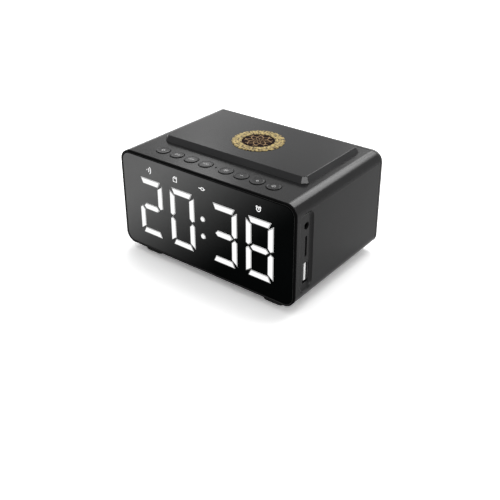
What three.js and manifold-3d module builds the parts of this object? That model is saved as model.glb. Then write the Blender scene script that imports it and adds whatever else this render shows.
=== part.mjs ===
// Desktop alarm clock and speaker with a charging pad on its top.
// Lengths are in millimetres. The front faces -Y, +X is to the right seen from the front,
// and the clock stands on z = 0, centred over the origin.
import * as THREE from "three";
import { mergeVertices } from "three/addons/utils/BufferGeometryUtils.js";
import Module from "manifold-3d";

const wasm = await Module();
wasm.setup();

// Body
const bodyWidth = 131;
const bodyDepth = 92.6;
const bodyHeight = 64;
const cornerRadius = 7;
const wall = 2.8;
const footHeight = 5.2;

// Clearances
const seam = 0.2;
const fit = 0.3;
const overrun = 1;

// Front bezel, and the display stack behind it
const bezelDepth = 1.4;
const bezelRim = 1.35;
const bezelWeb = 0.4;
const collarWall = 1.6;
const lensInset = 0.1;
const lensThickness = 0.8;
const reflectorDepth = 3.6;
const lightPlateThickness = 0.8;
const displayBoardThickness = 1.4;

// Digits: four of seven segments, and a colon
const digitWidthShare = 0.1463;
const digitHeightShare = 0.597;
const digitBaseShare = 0.1723;
const digitPitchShare = 0.195;
const middleGapShare = 0.2437;
const strokeWidth = 3.85;
const outerCut = 1.7;
const innerCut = 0.35;
const mitreOuter = 2.1;
const mitreInner = 4.95;
const tipGap = 0.5;
const tipOuter = 1.65;
const tipInner = 2.6;
const barTip = 3.1;
const barShoulder = 5;
const colonRadius = 1.8;
const colonDrop = 5.85;
const colonSpacing = 11.45;
const windowGap = 0.2;
const cellGap = 0.3;

// Buttons along the top, with a microphone hole in the middle
const buttonFromFront = 13.2;
const buttonPitchShare = 0.0863;
const firstButtonShare = 0.058;
const capShare = 0.382;
const capProud = 0.45;
const capChamfer = 0.3;
const capDish = 0.2;
const flangeStep = 0.7;
const flangeThickness = 1;
const stemRadius = 1.5;
const buttonTravel = 0.6;
const microphoneHole = 0.65;
const bootRadius = 1.8;
const soundHoleDepth = 2;

// Key board and its tact switches
const keyBoardThickness = 1.2;
const keyBoardDepth = 10.4;
const keyBoardShare = 0.824;
const switchSide = 6;
const switchHeight = 3.4;
const switchBelowRoof = 3.8;
const plungerEntry = 0.7;
const postRadius = 2.5;
const postInset = 3;

// Charging pad and its ornament
const padFromSide = 11;
const padFromFront = 25.2;
const padFromRear = 6.6;
const padHeight = 3.5;
const padSlope = 2;
const padCorner = 5;
const padEdge = 0.5;
const padWall = 1.6;
const windowMargin = 6;
const windowCorner = 4;
const rimWall = 1.6;
const rimDepth = 2.6;
const ornamentShare = 0.47;
const ornamentRadius = 17.2;
const ornamentCentreRadius = 10.1;
const ornamentThickness = 0.35;
const scallopDepth = 0.7;

// Charging coil, ferrite sheet and their carrier
const coilBoreShare = 0.455;
const coilThickness = 2.2;
const ferriteThickness = 0.8;
const carrierThickness = 1.2;
const carrierLip = 3;
const carrierStep = 0.5;

// Port recess on the right side
const recessDepth = 1.5;
const recessFront = 4.6;
const recessRear = 17.6;
const recessBottomShare = 0.1125;
const recessTopShare = 0.884;
const recessCorner = 5;
const recessFillet = 1;
const portFromFront = 13.2;
const jackShare = 0.74;
const jackHole = 1.95;
const jackBore = 1.8;
const jackBody = 5;
const jackLength = 13;
const jackDepth = 11;
const cardShare = 0.539;
const cardSlotLength = 12.6;
const cardSlotWidth = 1.7;
const cardBodyLength = 14.6;
const cardBodyThickness = 3.5;
const cardBodyDepth = 15;
const cardLipThickness = 0.5;
const usbFromFront = 12.85;
const usbShare = 0.272;
const usbWidth = 5.72;
const usbLength = 13.7;
const usbDepth = 14;
const usbMetal = 0.3;
const usbSlack = 0.4;
const usbInset = 0.15;
const tongueThickness = 1.84;
const tongueWidth = 11.1;
const tongueGap = 0.7;
const tongueInset = 0.9;
const tongueBack = 3;

// Main board
const mainBoardThickness = 1.6;
const mainBoardFromFront = 16;
const mainBoardTopGap = 1;
const mainBoardSideGap = 0.5;
const railReach = 35;
const railWidth = 8;
const railThickness = 2;
const railHeight = 4;
const chipSide = 9;
const chipHeight = 1.2;
const chipSpacing = 26;

// Rear cover with two speaker grilles
const rearPlate = 2;
const rearLip = 2.5;
const rearLipWall = 1.6;
const grilleHole = 1.35;
const grillePitch = 4;
const speakerShare = 0.504;
const screwShank = 1.3;
const screwHead = 2.6;
const screwHeadHeight = 1.1;
const screwLength = 9;
const screwSlotWidth = 0.6;
const screwSlotDepth = 0.5;
const bossRadius = 3.5;
const bossInset = 5.6;
const bossLength = 10;

// Speakers
const speakerRadius = 20.5;
const speakerFlange = 2;
const basketRadius = 18.2;
const basketBackRadius = 12.6;
const basketDepth = 12;
const basketWall = 1.4;
const magnetRadius = 12.4;
const magnetThickness = 7;
const coneRadius = 16.2;
const coneNeck = 6;
const coneDepth = 4.5;
const coneThickness = 0.8;
const dustCapRise = 2;

// Power inlet at the rear
const inletHeight = 10.8;
const inletWidth = 9;
const inletThickness = 3.2;
const inletDepth = 7.5;
const inletMetal = 0.35;
const inletInset = 0.2;
const inletTongueWidth = 6.4;
const inletTongueThickness = 0.7;
const inletTongueInset = 0.8;
const inletTongueBack = 2;
const inletBoardWidth = 20;
const inletBoardDepth = 12;
const inletBoardThickness = 1.2;
const shelfThickness = 1.5;
const shelfMargin = 2;

// Battery
const cellRadius = 9;
const cellLength = 65;
const cellShare = 0.432;
const cradleLength = 60;
const cradleWidth = 16;
const cradleHeight = 8;
const cradleBase = 2;

// Feet
const footWidth = 14.4;
const footDepth = 9;
const footCorner = 3;
const footEdge = 0.5;
const footInset = 18.3;
const footFromEdge = 9;
const pegRadius = 2.5;
const pegLength = 2.4;

// Counts of sides and segments
const cornerSegments = 6;
const roundSides = 20;
const smallSides = 12;
const scallopCount = 16;
const scallopSteps = 4;
const grilleRings = 3;
const grilleSides = 6;
const filletSteps = 3;
const buttonsPerSide = 4;

// Which of the seven segments are lit, in the order a b c d e f g
const allSegments = [1, 1, 1, 1, 1, 1, 1];
const litSegments = [
  [1, 1, 0, 1, 1, 0, 1],
  [1, 1, 1, 1, 1, 1, 0],
  [1, 1, 1, 1, 0, 0, 1],
  [1, 1, 1, 1, 1, 1, 1],
];

// Places worked out from the sizes
const digitWidth = digitWidthShare * bodyWidth;
const digitHeight = digitHeightShare * bodyHeight;
const digitPitch = digitPitchShare * bodyWidth;
const middleGap = middleGapShare * bodyWidth;
const frontY = -bodyDepth / 2;
const rearY = bodyDepth / 2;
const sideX = bodyWidth / 2;
const floorZ = footHeight;
const roofZ = footHeight + bodyHeight;
const middleZ = footHeight + bodyHeight / 2;
const innerSideX = sideX - wall;
const innerFloorZ = floorZ + wall;
const innerRoofZ = roofZ - wall;
const sleeveFrontY = frontY + bezelDepth + seam;
const sleeveRearY = rearY - rearPlate - seam;
const buttonY = frontY + buttonFromFront;
const buttonPitch = buttonPitchShare * bodyWidth;
const firstButton = firstButtonShare * bodyWidth;
const capRadius = capShare * buttonPitch;
const flangeRadius = capRadius + flangeStep;
const padWidth = bodyWidth - 2 * padFromSide;
const padDepth = bodyDepth - padFromFront - padFromRear;
const padY = frontY + padFromFront + padDepth / 2;
const padTopZ = roofZ + padHeight;
const ornamentY = frontY + padFromFront + ornamentShare * padDepth;
const coilOuterRadius = padDepth / 2 - windowMargin - seam - rimWall - 2 * fit;
const coilInnerRadius = coilBoreShare * coilOuterRadius;
const lensBackY = frontY + lensInset + lensThickness;
const reflectorFrontY = lensBackY + fit;
const lightPlateY = reflectorFrontY + reflectorDepth + seam;
const displayBoardY = lightPlateY + lightPlateThickness + seam;
const collarEndY = displayBoardY + displayBoardThickness + seam;
const mainBoardY = frontY + mainBoardFromFront;
const recessFloorX = sideX - recessDepth;
const switchTopZ = innerRoofZ - switchBelowRoof;
const keyBoardTopZ = switchTopZ - switchHeight;
const keyBoardWidth = keyBoardShare * bodyWidth;
const mainBoardBottomZ = innerFloorZ + fit;
const mainBoardTopZ = keyBoardTopZ - keyBoardThickness - mainBoardTopGap;
const portY = frontY + portFromFront;
const usbY = frontY + usbFromFront;
const usbZ = floorZ + usbShare * bodyHeight;
const jackZ = floorZ + jackShare * bodyHeight;
const cardZ = floorZ + cardShare * bodyHeight;
const inletZ = floorZ + inletHeight;
const speakerX = (speakerShare * bodyWidth) / 2;

const colours = {
  housing: [0x2e2e2f, 0.42, 0],
  bezel: [0x0c0c0d, 0.35, 0],
  lens: [0x050506, 0.05, 0],
  lit: [0xffffff, 0.4, 0],
  dark: [0x141415, 0.6, 0],
  board: [0x1d5a34, 0.55, 0],
  cap: [0x2a2a2b, 0.4, 0],
  gold: [0xc9a95c, 0.35, 0.8],
  ornament: [0x33201a, 0.4, 0.2],
  copper: [0xb8693a, 0.35, 0.9],
  ferrite: [0x3b3b3d, 0.7, 0],
  metal: [0xb9bcc0, 0.3, 1],
  white: [0xf2f2f0, 0.45, 0],
  cone: [0x1b1b1c, 0.8, 0],
  magnet: [0x55585c, 0.45, 0.9],
  cell: [0x3c6ea8, 0.45, 0],
  rubber: [0x101010, 0.85, 0],
};

const clock = new THREE.Group();
clock.name = "alarm_clock";

function materialOf(key) {
  const [color, roughness, metalness] = colours[key];
  return new THREE.MeshStandardMaterial({ color, roughness, metalness });
}

function addPart(name, key, geometry, place = [0, 0, 0], parent = clock) {
  const mesh = new THREE.Mesh(geometry, materialOf(key));
  mesh.name = name;
  mesh.position.set(...place);
  parent.add(mesh);
  return mesh;
}

// Solids and geometries
function solidOf(geometry) {
  const bare = geometry.clone();
  bare.deleteAttribute("normal");
  bare.deleteAttribute("uv");
  const merged = mergeVertices(bare);
  return new wasm.Manifold(
    new wasm.Mesh({
      numProp: 3,
      vertProperties: merged.attributes.position.array,
      triVerts: new Uint32Array(merged.index.array),
    }),
  );
}

function geometryOf(solid) {
  const mesh = solid.getMesh();
  const indexed = new THREE.BufferGeometry();
  const positions = new THREE.BufferAttribute(mesh.vertProperties, mesh.numProp);
  indexed.setAttribute("position", positions);
  indexed.setIndex(new THREE.BufferAttribute(mesh.triVerts, 1));
  const geometry = indexed.toNonIndexed();
  geometry.computeVertexNormals();
  return geometry;
}

// A solid with pieces added to it and then cut from it
function carve(base, added, removed) {
  let solid = solidOf(base);
  for (const geometry of added) {
    solid = solid.add(solidOf(geometry));
  }
  for (const geometry of removed) {
    solid = solid.subtract(solidOf(geometry));
  }
  return geometryOf(solid);
}

// Outlines
function roundedRect(width, height, radius, x = 0, y = 0, shape = new THREE.Shape()) {
  const right = x + width / 2 - radius;
  const left = x - width / 2 + radius;
  const top = y + height / 2 - radius;
  const bottom = y - height / 2 + radius;
  shape.moveTo(right, bottom - radius);
  shape.absarc(right, bottom, radius, -Math.PI / 2, 0, false);
  shape.absarc(right, top, radius, 0, Math.PI / 2, false);
  shape.absarc(left, top, radius, Math.PI / 2, Math.PI, false);
  shape.absarc(left, bottom, radius, Math.PI, (3 * Math.PI) / 2, false);
  shape.closePath();
  return shape;
}

function circle(radius, x = 0, y = 0) {
  return new THREE.Shape().absarc(x, y, radius, 0, 2 * Math.PI, false);
}

function polygon(points) {
  return new THREE.Shape(points.map(([x, y]) => new THREE.Vector2(x, y)));
}

// Extrusions along each axis, between two places on it, with the segments of each arc
function extrude(shape, depth, segments, bevel = {}) {
  const options = { depth, bevelEnabled: false, curveSegments: segments / 2, ...bevel };
  return new THREE.ExtrudeGeometry(shape, options);
}

function alongZ(shape, from, to, segments = cornerSegments) {
  return extrude(shape, to - from, segments).translate(0, 0, from);
}

// The shape's second axis becomes z
function alongY(shape, from, to, segments = cornerSegments) {
  return extrude(shape, to - from, segments).rotateX(Math.PI / 2).translate(0, to, 0);
}

// The shape's axes become y and z
const sideways = new THREE.Matrix4().makeBasis(
  new THREE.Vector3(0, 1, 0),
  new THREE.Vector3(0, 0, 1),
  new THREE.Vector3(1, 0, 0),
);

function alongX(shape, from, to, segments = cornerSegments, bevel = {}) {
  return extrude(shape, to - from, segments, bevel).applyMatrix4(sideways).translate(from, 0, 0);
}

function box(x0, x1, y0, y1, z0, z1) {
  const geometry = new THREE.BoxGeometry(x1 - x0, y1 - y0, z1 - z0);
  return geometry.translate((x0 + x1) / 2, (y0 + y1) / 2, (z0 + z1) / 2);
}

// A turned piece about z, from [radius, z] points that start and end on the axis or close
function turned(profile, sides = roundSides) {
  const points = profile.map(([radius, z]) => new THREE.Vector2(radius, z));
  return new THREE.LatheGeometry(points, sides).rotateX(Math.PI / 2);
}

// The same about y, with its points given as [radius, y]
function turnedAlongY(profile, sides = roundSides) {
  const points = profile.map(([radius, y]) => new THREE.Vector2(radius, y));
  return new THREE.LatheGeometry(points, sides);
}

// Outlines of equal point count joined into one closed solid, with a flat face at each end
function loft(rings) {
  const count = rings[0].outline.length;
  const positions = rings.flatMap(({ outline, z }) => outline.flatMap((p) => [p.x, p.y, z]));
  const index = [];
  for (let r = 0; r + 1 < rings.length; r += 1) {
    for (let i = 0; i < count; i += 1) {
      const a = r * count + i;
      const b = r * count + ((i + 1) % count);
      index.push(a, b, b + count, a, b + count, a + count);
    }
  }
  const caps = THREE.ShapeUtils.triangulateShape(rings[0].outline, []);
  const last = (rings.length - 1) * count;
  for (const [a, b, c] of caps) {
    index.push(c, b, a);
    index.push(last + a, last + b, last + c);
  }
  const geometry = new THREE.BufferGeometry();
  geometry.setAttribute("position", new THREE.Float32BufferAttribute(positions, 3));
  geometry.setIndex(index);
  return geometry;
}

function roundedOutline(width, height, radius, x, y) {
  const points = roundedRect(width, height, radius, x, y).getPoints(cornerSegments / 2);
  const open = points.filter((p, i) => i === 0 || p.distanceTo(points[i - 1]) > seam / cornerSegments);
  if (open[0].distanceTo(open[open.length - 1]) < seam / cornerSegments) {
    open.pop();
  }
  return open;
}

// A convex outline with each side moved outwards by a distance
function grow(points, distance) {
  const lines = points.map((p, i) => {
    const q = points[(i + 1) % points.length];
    const length = Math.hypot(q[0] - p[0], q[1] - p[1]);
    const normal = [(q[1] - p[1]) / length, (p[0] - q[0]) / length];
    return { normal, offset: normal[0] * p[0] + normal[1] * p[1] + distance };
  });
  return lines.map((line, i) => {
    const before = lines[(i + lines.length - 1) % lines.length];
    const cross = before.normal[0] * line.normal[1] - before.normal[1] * line.normal[0];
    return [
      (before.offset * line.normal[1] - line.offset * before.normal[1]) / cross,
      (before.normal[0] * line.offset - line.normal[0] * before.offset) / cross,
    ];
  });
}

// The seven segments of one digit, each a counter-clockwise outline about the digit's centre
function segmentOutlines() {
  const w = digitWidth / 2;
  const h = digitHeight / 2;
  const t = strokeWidth;
  const top = [
    [-w + outerCut, h],
    [-w + t - innerCut, h - t],
    [w - t + innerCut, h - t],
    [w - outerCut, h],
  ];
  const upperRight = [
    [w, h - mitreOuter],
    [w - t, h - mitreInner],
    [w - t, tipInner],
    [w - t / 2, tipGap],
    [w, tipOuter],
  ];
  const middle = [
    [-w + barTip, 0],
    [-w + barShoulder, -t / 2],
    [w - barShoulder, -t / 2],
    [w - barTip, 0],
    [w - barShoulder, t / 2],
    [-w + barShoulder, t / 2],
  ];
  const turnOver = (outline, sx, sy) => {
    const moved = outline.map(([x, y]) => [x * sx, y * sy]);
    return sx * sy < 0 ? moved.reverse() : moved;
  };
  return [
    top,
    upperRight,
    turnOver(upperRight, 1, -1),
    turnOver(top, 1, -1),
    turnOver(upperRight, -1, -1),
    turnOver(upperRight, -1, 1),
    middle,
  ];
}

const digitBottomZ = floorZ + digitBaseShare * bodyHeight;
const digitZ = digitBottomZ + digitHeight / 2;
const digitXs = [
  -middleGap / 2 - digitPitch,
  -middleGap / 2,
  middleGap / 2,
  middleGap / 2 + digitPitch,
];
const colonZs = [digitZ - colonDrop, digitZ - colonDrop + colonSpacing];

// Shapes of the chosen segments and of the colon, each grown by a gap
function displayShapes(chosen, gap) {
  const shapes = [];
  digitXs.forEach((x, digit) => {
    segmentOutlines().forEach((outline, segment) => {
      if (!chosen(digit)[segment]) {
        return;
      }
      const grown = gap > 0 ? grow(outline, gap) : outline;
      shapes.push(polygon(grown.map(([u, v]) => [x + u, digitZ + v])));
    });
  });
  for (const z of colonZs) {
    shapes.push(circle(colonRadius + gap, 0, z));
  }
  return shapes;
}

function buttonXs() {
  const xs = [];
  for (let i = buttonsPerSide - 1; i >= 0; i -= 1) {
    xs.push(-firstButton - i * buttonPitch);
  }
  for (let i = 0; i < buttonsPerSide; i += 1) {
    xs.push(firstButton + i * buttonPitch);
  }
  return xs;
}

function footPlaces() {
  const x = sideX - footInset;
  return [
    ["front_left_foot", -x, frontY + footFromEdge],
    ["front_right_foot", x, frontY + footFromEdge],
    ["rear_left_foot", -x, rearY - footFromEdge],
    ["rear_right_foot", x, rearY - footFromEdge],
  ];
}

function screwPlaces() {
  const x = sideX - bossInset;
  return [
    ["lower_left_screw", -x, floorZ + bossInset],
    ["lower_right_screw", x, floorZ + bossInset],
    ["upper_left_screw", -x, roofZ - bossInset],
    ["upper_right_screw", x, roofZ - bossInset],
  ];
}

const bossRearY = sleeveRearY - rearLip - fit;

// Housing sleeve: one wrap-around wall, cut for the buttons, the pad and the ports
function housingSleeve() {
  const outline = roundedRect(bodyWidth, bodyHeight, cornerRadius, 0, middleZ);
  const hollow = [bodyWidth - 2 * wall, bodyHeight - 2 * wall, cornerRadius - wall, 0, middleZ];
  outline.holes.push(roundedRect(...hollow, new THREE.Path()));
  const tube = alongY(outline, sleeveFrontY, sleeveRearY);
  return carve(tube, [...sleeveBosses(), ...boardRails(), ...keyPosts()], sleeveCuts());
}

function sleeveBosses() {
  return screwPlaces().map(([, x, z]) => {
    return alongY(circle(bossRadius, x, z), bossRearY - bossLength, bossRearY, smallSides);
  });
}

// Pairs of ribs on the floor that hold the main board's lower edge
function boardRails() {
  const ribs = [];
  for (const x of [-railReach, railReach]) {
    const frontRib = mainBoardY - fit - railThickness;
    const rearRib = mainBoardY + mainBoardThickness + fit;
    for (const y of [frontRib, rearRib]) {
      const z = innerFloorZ - seam;
      const x0 = x - railWidth / 2;
      ribs.push(box(x0, x0 + railWidth, y, y + railThickness, z, innerFloorZ + railHeight));
    }
  }
  return ribs;
}

// Posts that hang from the roof and hold the key board
function keyPosts() {
  const x = keyBoardWidth / 2 - postInset;
  return [-x, x].map((centre) => {
    const post = circle(postRadius, centre, buttonY);
    return alongZ(post, keyBoardTopZ + fit, innerRoofZ + seam, smallSides);
  });
}

function sleeveCuts() {
  const through = [innerRoofZ - overrun, roofZ + overrun];
  const cuts = buttonXs().map((x) => {
    return alongZ(circle(capRadius + fit, x, buttonY), ...through, roundSides);
  });
  cuts.push(alongZ(circle(microphoneHole, 0, buttonY), ...through, smallSides));
  cuts.push(alongZ(roundedRect(...padWindow(0)), ...through));
  for (const [, x, y] of footPlaces()) {
    const hole = circle(pegRadius + seam, x, y);
    cuts.push(alongZ(hole, floorZ - overrun, innerFloorZ + overrun, smallSides));
  }
  for (const [, x, z] of screwPlaces()) {
    const pilot = circle(screwShank + seam, x, z);
    cuts.push(alongY(pilot, bossRearY - screwLength, bossRearY + overrun, smallSides));
  }
  return [...cuts, ...portCuts()];
}

// The recess has a rounded floor edge, and holes for the three sockets
function portCuts() {
  const depth = recessRear - recessFront - 2 * recessFillet;
  const height = (recessTopShare - recessBottomShare) * bodyHeight - 2 * recessFillet;
  const y = frontY + (recessFront + recessRear) / 2;
  const z = floorZ + ((recessBottomShare + recessTopShare) * bodyHeight) / 2;
  const outline = roundedRect(depth, height, recessCorner - recessFillet, y, z);
  const bevel = {
    bevelEnabled: true,
    bevelThickness: recessFillet,
    bevelSize: recessFillet,
    bevelSegments: filletSteps,
  };
  const from = recessFloorX + recessFillet;
  const holes = [innerSideX - overrun, sideX + overrun];
  const usbHole = [usbWidth + usbSlack, usbLength + usbSlack, usbMetal + usbSlack, usbY, usbZ];
  const cardHole = [cardSlotWidth, cardSlotLength, cardSlotWidth / 3, portY, cardZ];
  return [
    alongX(outline, from, sideX + overrun, cornerSegments, bevel),
    alongX(circle(jackHole, portY, jackZ), ...holes, roundSides),
    alongX(roundedRect(...cardHole), ...holes),
    alongX(roundedRect(...usbHole), ...holes),
  ];
}

// Front bezel: a rim round the lens, a thin web behind it, and a collar inside the sleeve
function frontBezel() {
  const webY = frontY + bezelDepth - bezelWeb;
  const plate = roundedRect(bodyWidth, bodyHeight, cornerRadius, 0, middleZ);
  const collar = roundedRect(...collarSize(0), cornerRadius - wall, 0, middleZ);
  const opening = [...collarSize(collarWall), cornerRadius - wall - collarWall, 0, middleZ];
  const rebate = [...lensSize(seam), cornerRadius - bezelRim + seam, 0, middleZ];
  return carve(
    alongY(plate, frontY, frontY + bezelDepth),
    [alongY(collar, frontY + bezelDepth - bezelWeb, collarEndY)],
    [
      alongY(roundedRect(...opening), frontY - overrun, collarEndY + overrun),
      alongY(roundedRect(...rebate), frontY - overrun, webY),
    ],
  );
}

function collarSize(inwards) {
  const step = 2 * (wall + fit + inwards);
  return [bodyWidth - step, bodyHeight - step];
}

function lensSize(outwards) {
  const step = 2 * (bezelRim - outwards);
  return [bodyWidth - step, bodyHeight - step];
}

// Display lens: a dark panel with a window for each lit segment
function displayLens() {
  const outline = roundedRect(...lensSize(0), cornerRadius - bezelRim, 0, middleZ);
  const windows = displayShapes((digit) => litSegments[digit], windowGap).map((shape) => {
    return alongY(shape, frontY - overrun, lensBackY + overrun, smallSides);
  });
  return carve(alongY(outline, frontY + lensInset, lensBackY), [], windows);
}

// Display reflector: a black block with an open cell for each segment, lit or not
function displayReflector() {
  const size = collarSize(collarWall + fit);
  const outline = roundedRect(...size, cornerRadius - wall - collarWall, 0, middleZ);
  const rear = reflectorFrontY + reflectorDepth;
  const cells = displayShapes(() => allSegments, cellGap).map((shape) => {
    return alongY(shape, reflectorFrontY - overrun, rear + overrun, smallSides);
  });
  return carve(alongY(outline, reflectorFrontY, rear), [], cells);
}

// Lit segments: light guides that stand from one plate and end flush with the lens
function litGuides() {
  const size = collarSize(collarWall + fit);
  const plate = roundedRect(...size, cornerRadius - wall - collarWall, 0, middleZ);
  const guides = displayShapes((digit) => litSegments[digit], 0).map((shape) => {
    return alongY(shape, frontY + lensInset, lightPlateY + lightPlateThickness / 2, smallSides);
  });
  return carve(alongY(plate, lightPlateY, lightPlateY + lightPlateThickness), guides, []);
}

function displayBoard() {
  const size = collarSize(collarWall + fit);
  const outline = roundedRect(...size, cornerRadius - wall - collarWall, 0, middleZ);
  return alongY(outline, displayBoardY, displayBoardY + displayBoardThickness);
}

// Main board: stands in the floor rails and carries the side sockets, with chips on its rear
function mainBoard() {
  const width = 2 * (innerSideX - mainBoardSideGap);
  const height = mainBoardTopZ - mainBoardBottomZ;
  const z = (mainBoardTopZ + mainBoardBottomZ) / 2;
  const outline = roundedRect(width, height, cornerRadius - wall, 0, z);
  const rear = mainBoardY + mainBoardThickness;
  const chips = [-chipSpacing, 0, chipSpacing].map((centre) => {
    const x0 = centre - chipSide / 2;
    const z0 = middleZ - chipSide / 2;
    return box(x0, x0 + chipSide, rear - seam, rear + chipHeight, z0, z0 + chipSide);
  });
  return carve(alongY(outline, mainBoardY, rear), chips, []);
}

function keyBoard() {
  const outline = roundedRect(keyBoardWidth, keyBoardDepth, stemRadius, 0, buttonY);
  return alongZ(outline, keyBoardTopZ - keyBoardThickness, keyBoardTopZ);
}

// Tact switch: a square body with a well for the plunger
function tactSwitch() {
  const half = switchSide / 2;
  const well = plungerEntry + buttonTravel + fit;
  const hole = circle(stemRadius + fit);
  return carve(
    box(-half, half, -half, half, -switchHeight, 0),
    [],
    [alongZ(hole, -well, overrun, smallSides)],
  );
}

// Button cap: a dished top, a flange that stops under the roof, and the plunger that it carries
function buttonCap() {
  const flangeTop = innerRoofZ - fit - roofZ;
  const flangeBottom = flangeTop - flangeThickness;
  const tip = switchTopZ - plungerEntry - roofZ;
  return turned([
    [0, tip],
    [stemRadius, tip],
    [stemRadius, flangeBottom],
    [flangeRadius, flangeBottom],
    [flangeRadius, flangeTop],
    [capRadius, flangeTop],
    [capRadius, capProud - capChamfer],
    [capRadius - capChamfer, capProud],
    [(capRadius - capChamfer) / 2, capProud - capDish],
    [0, capProud - capDish],
  ]);
}

// Microphone in its rubber boot, under the hole in the roof
function microphone() {
  const top = innerRoofZ - fit;
  const body = alongZ(circle(bootRadius, 0, buttonY), keyBoardTopZ, top, smallSides);
  const sound = circle(microphoneHole, 0, buttonY);
  return carve(body, [], [alongZ(sound, top - soundHoleDepth, top + overrun, smallSides)]);
}

function padWindow(inwards) {
  const step = 2 * (windowMargin + inwards);
  return [padWidth - step, padDepth - step, windowCorner - inwards, 0, padY];
}

// Charging pad: a sloped, rounded cover, hollow below, with a rim that drops into the roof
function chargingPad() {
  const side = (inwards, z) => {
    const step = 2 * inwards;
    const size = [padWidth - step, padDepth - step, padCorner - inwards];
    return { outline: roundedOutline(...size, 0, padY), z };
  };
  const slopeEnd = padSlope - padEdge / 2;
  const cover = loft([
    side(0, roofZ),
    side(slopeEnd, padTopZ - padEdge),
    side(padSlope + padEdge / 2, padTopZ),
  ]);
  const rim = alongZ(roundedRect(...padWindow(seam)), roofZ - rimDepth, roofZ + seam);
  const hollow = roundedRect(...padWindow(seam + rimWall));
  return carve(cover, [rim], [alongZ(hollow, roofZ - rimDepth - overrun, padTopZ - padWall)]);
}

// Ornament ring with a scalloped edge, laid on the pad
function ornamentRing() {
  const points = [];
  const steps = scallopCount * scallopSteps;
  for (let i = 0; i < steps; i += 1) {
    const angle = (2 * Math.PI * i) / steps;
    const lobe = Math.abs(Math.sin((scallopCount * angle) / 2));
    const radius = ornamentRadius - scallopDepth * (1 - lobe);
    points.push([radius * Math.cos(angle), ornamentY + radius * Math.sin(angle)]);
  }
  const outline = polygon(points);
  outline.holes.push(circle(ornamentCentreRadius + seam, 0, ornamentY));
  return alongZ(outline, padTopZ, padTopZ + ornamentThickness, roundSides);
}

function ornamentCentre() {
  const outline = circle(ornamentCentreRadius, 0, ornamentY);
  return alongZ(outline, padTopZ, padTopZ + ornamentThickness, roundSides);
}

// Charging coil, ferrite sheet and carrier, stacked under the pad
const coilTopZ = padTopZ - padWall - fit;
const ferriteTopZ = coilTopZ - coilThickness - seam;
const carrierBossZ = ferriteTopZ - ferriteThickness - seam;
const carrierTopZ = innerRoofZ - fit;

function chargingCoil() {
  return turned([
    [coilInnerRadius, -coilThickness],
    [coilOuterRadius, -coilThickness],
    [coilOuterRadius, 0],
    [coilInnerRadius, 0],
    [coilInnerRadius, -coilThickness],
  ]);
}

function ferriteSheet() {
  const half = coilOuterRadius;
  return box(-half, half, -half, half, -ferriteThickness, 0);
}

function coilCarrier() {
  const plate = roundedRect(...padWindow(-carrierLip));
  const boss = circle(coilOuterRadius - carrierStep, 0, padY);
  return carve(
    alongZ(plate, carrierTopZ - carrierThickness, carrierTopZ),
    [alongZ(boss, carrierTopZ - carrierThickness / 2, carrierBossZ, roundSides)],
    [],
  );
}

// USB socket: a metal shell that ends just inside the recess floor, and its tongue
function usbShell() {
  const outline = roundedRect(usbWidth, usbLength, usbMetal, usbY, usbZ);
  const inner = [usbWidth - 2 * usbMetal, usbLength - 2 * usbMetal, usbMetal / 2, usbY, usbZ];
  outline.holes.push(roundedRect(...inner, new THREE.Path()));
  const mouth = recessFloorX - usbInset;
  return alongX(outline, mouth - usbDepth, mouth, filletSteps);
}

function usbTongue() {
  const mouth = recessFloorX - usbInset;
  const innerWall = usbY + usbWidth / 2 - usbMetal;
  const y1 = innerWall - tongueGap;
  const half = tongueWidth / 2;
  const back = mouth - usbDepth;
  const plug = usbLength / 2 - usbMetal - seam;
  const y0 = usbY - usbWidth / 2 + usbMetal + seam;
  return carve(
    box(back, mouth - tongueInset, y1 - tongueThickness, y1, usbZ - half, usbZ + half),
    [box(back, back + tongueBack, y0, innerWall - seam, usbZ - plug, usbZ + plug)],
    [],
  );
}

// Headphone jack: a block on the main board with a round bore behind the recess hole
function jackSocket() {
  const rear = mainBoardY - fit;
  const front = innerSideX - fit;
  const half = jackBody / 2;
  return carve(
    box(front - jackLength, front, rear - jackBody, rear, jackZ - half, jackZ + half),
    [],
    [alongX(circle(jackBore, portY, jackZ), front - jackDepth, front + overrun, smallSides)],
  );
}

// Card socket: a flat body with a thin slot behind the recess slot
function cardSocket() {
  const rear = mainBoardY - fit;
  const front = innerSideX - fit;
  const half = cardBodyLength / 2;
  const slotHalf = half - cardLipThickness;
  const slotY = cardSlotWidth / 3;
  return carve(
    box(front - cardBodyDepth, front, rear - cardBodyThickness, rear, cardZ - half, cardZ + half),
    [],
    [
      box(
        front - cardBodyDepth + cardLipThickness,
        front + overrun,
        portY - slotY,
        portY + slotY,
        cardZ - slotHalf,
        cardZ + slotHalf,
      ),
    ],
  );
}

// Centres of the holes of one grille: a middle hole and rings round it
function grilleCentres() {
  const centres = [[0, 0]];
  for (let ring = 1; ring <= grilleRings; ring += 1) {
    const count = 6 * ring;
    for (let i = 0; i < count; i += 1) {
      const angle = (2 * Math.PI * i) / count;
      const radius = ring * grillePitch;
      centres.push([radius * Math.cos(angle), radius * Math.sin(angle)]);
    }
  }
  return centres;
}

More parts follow.
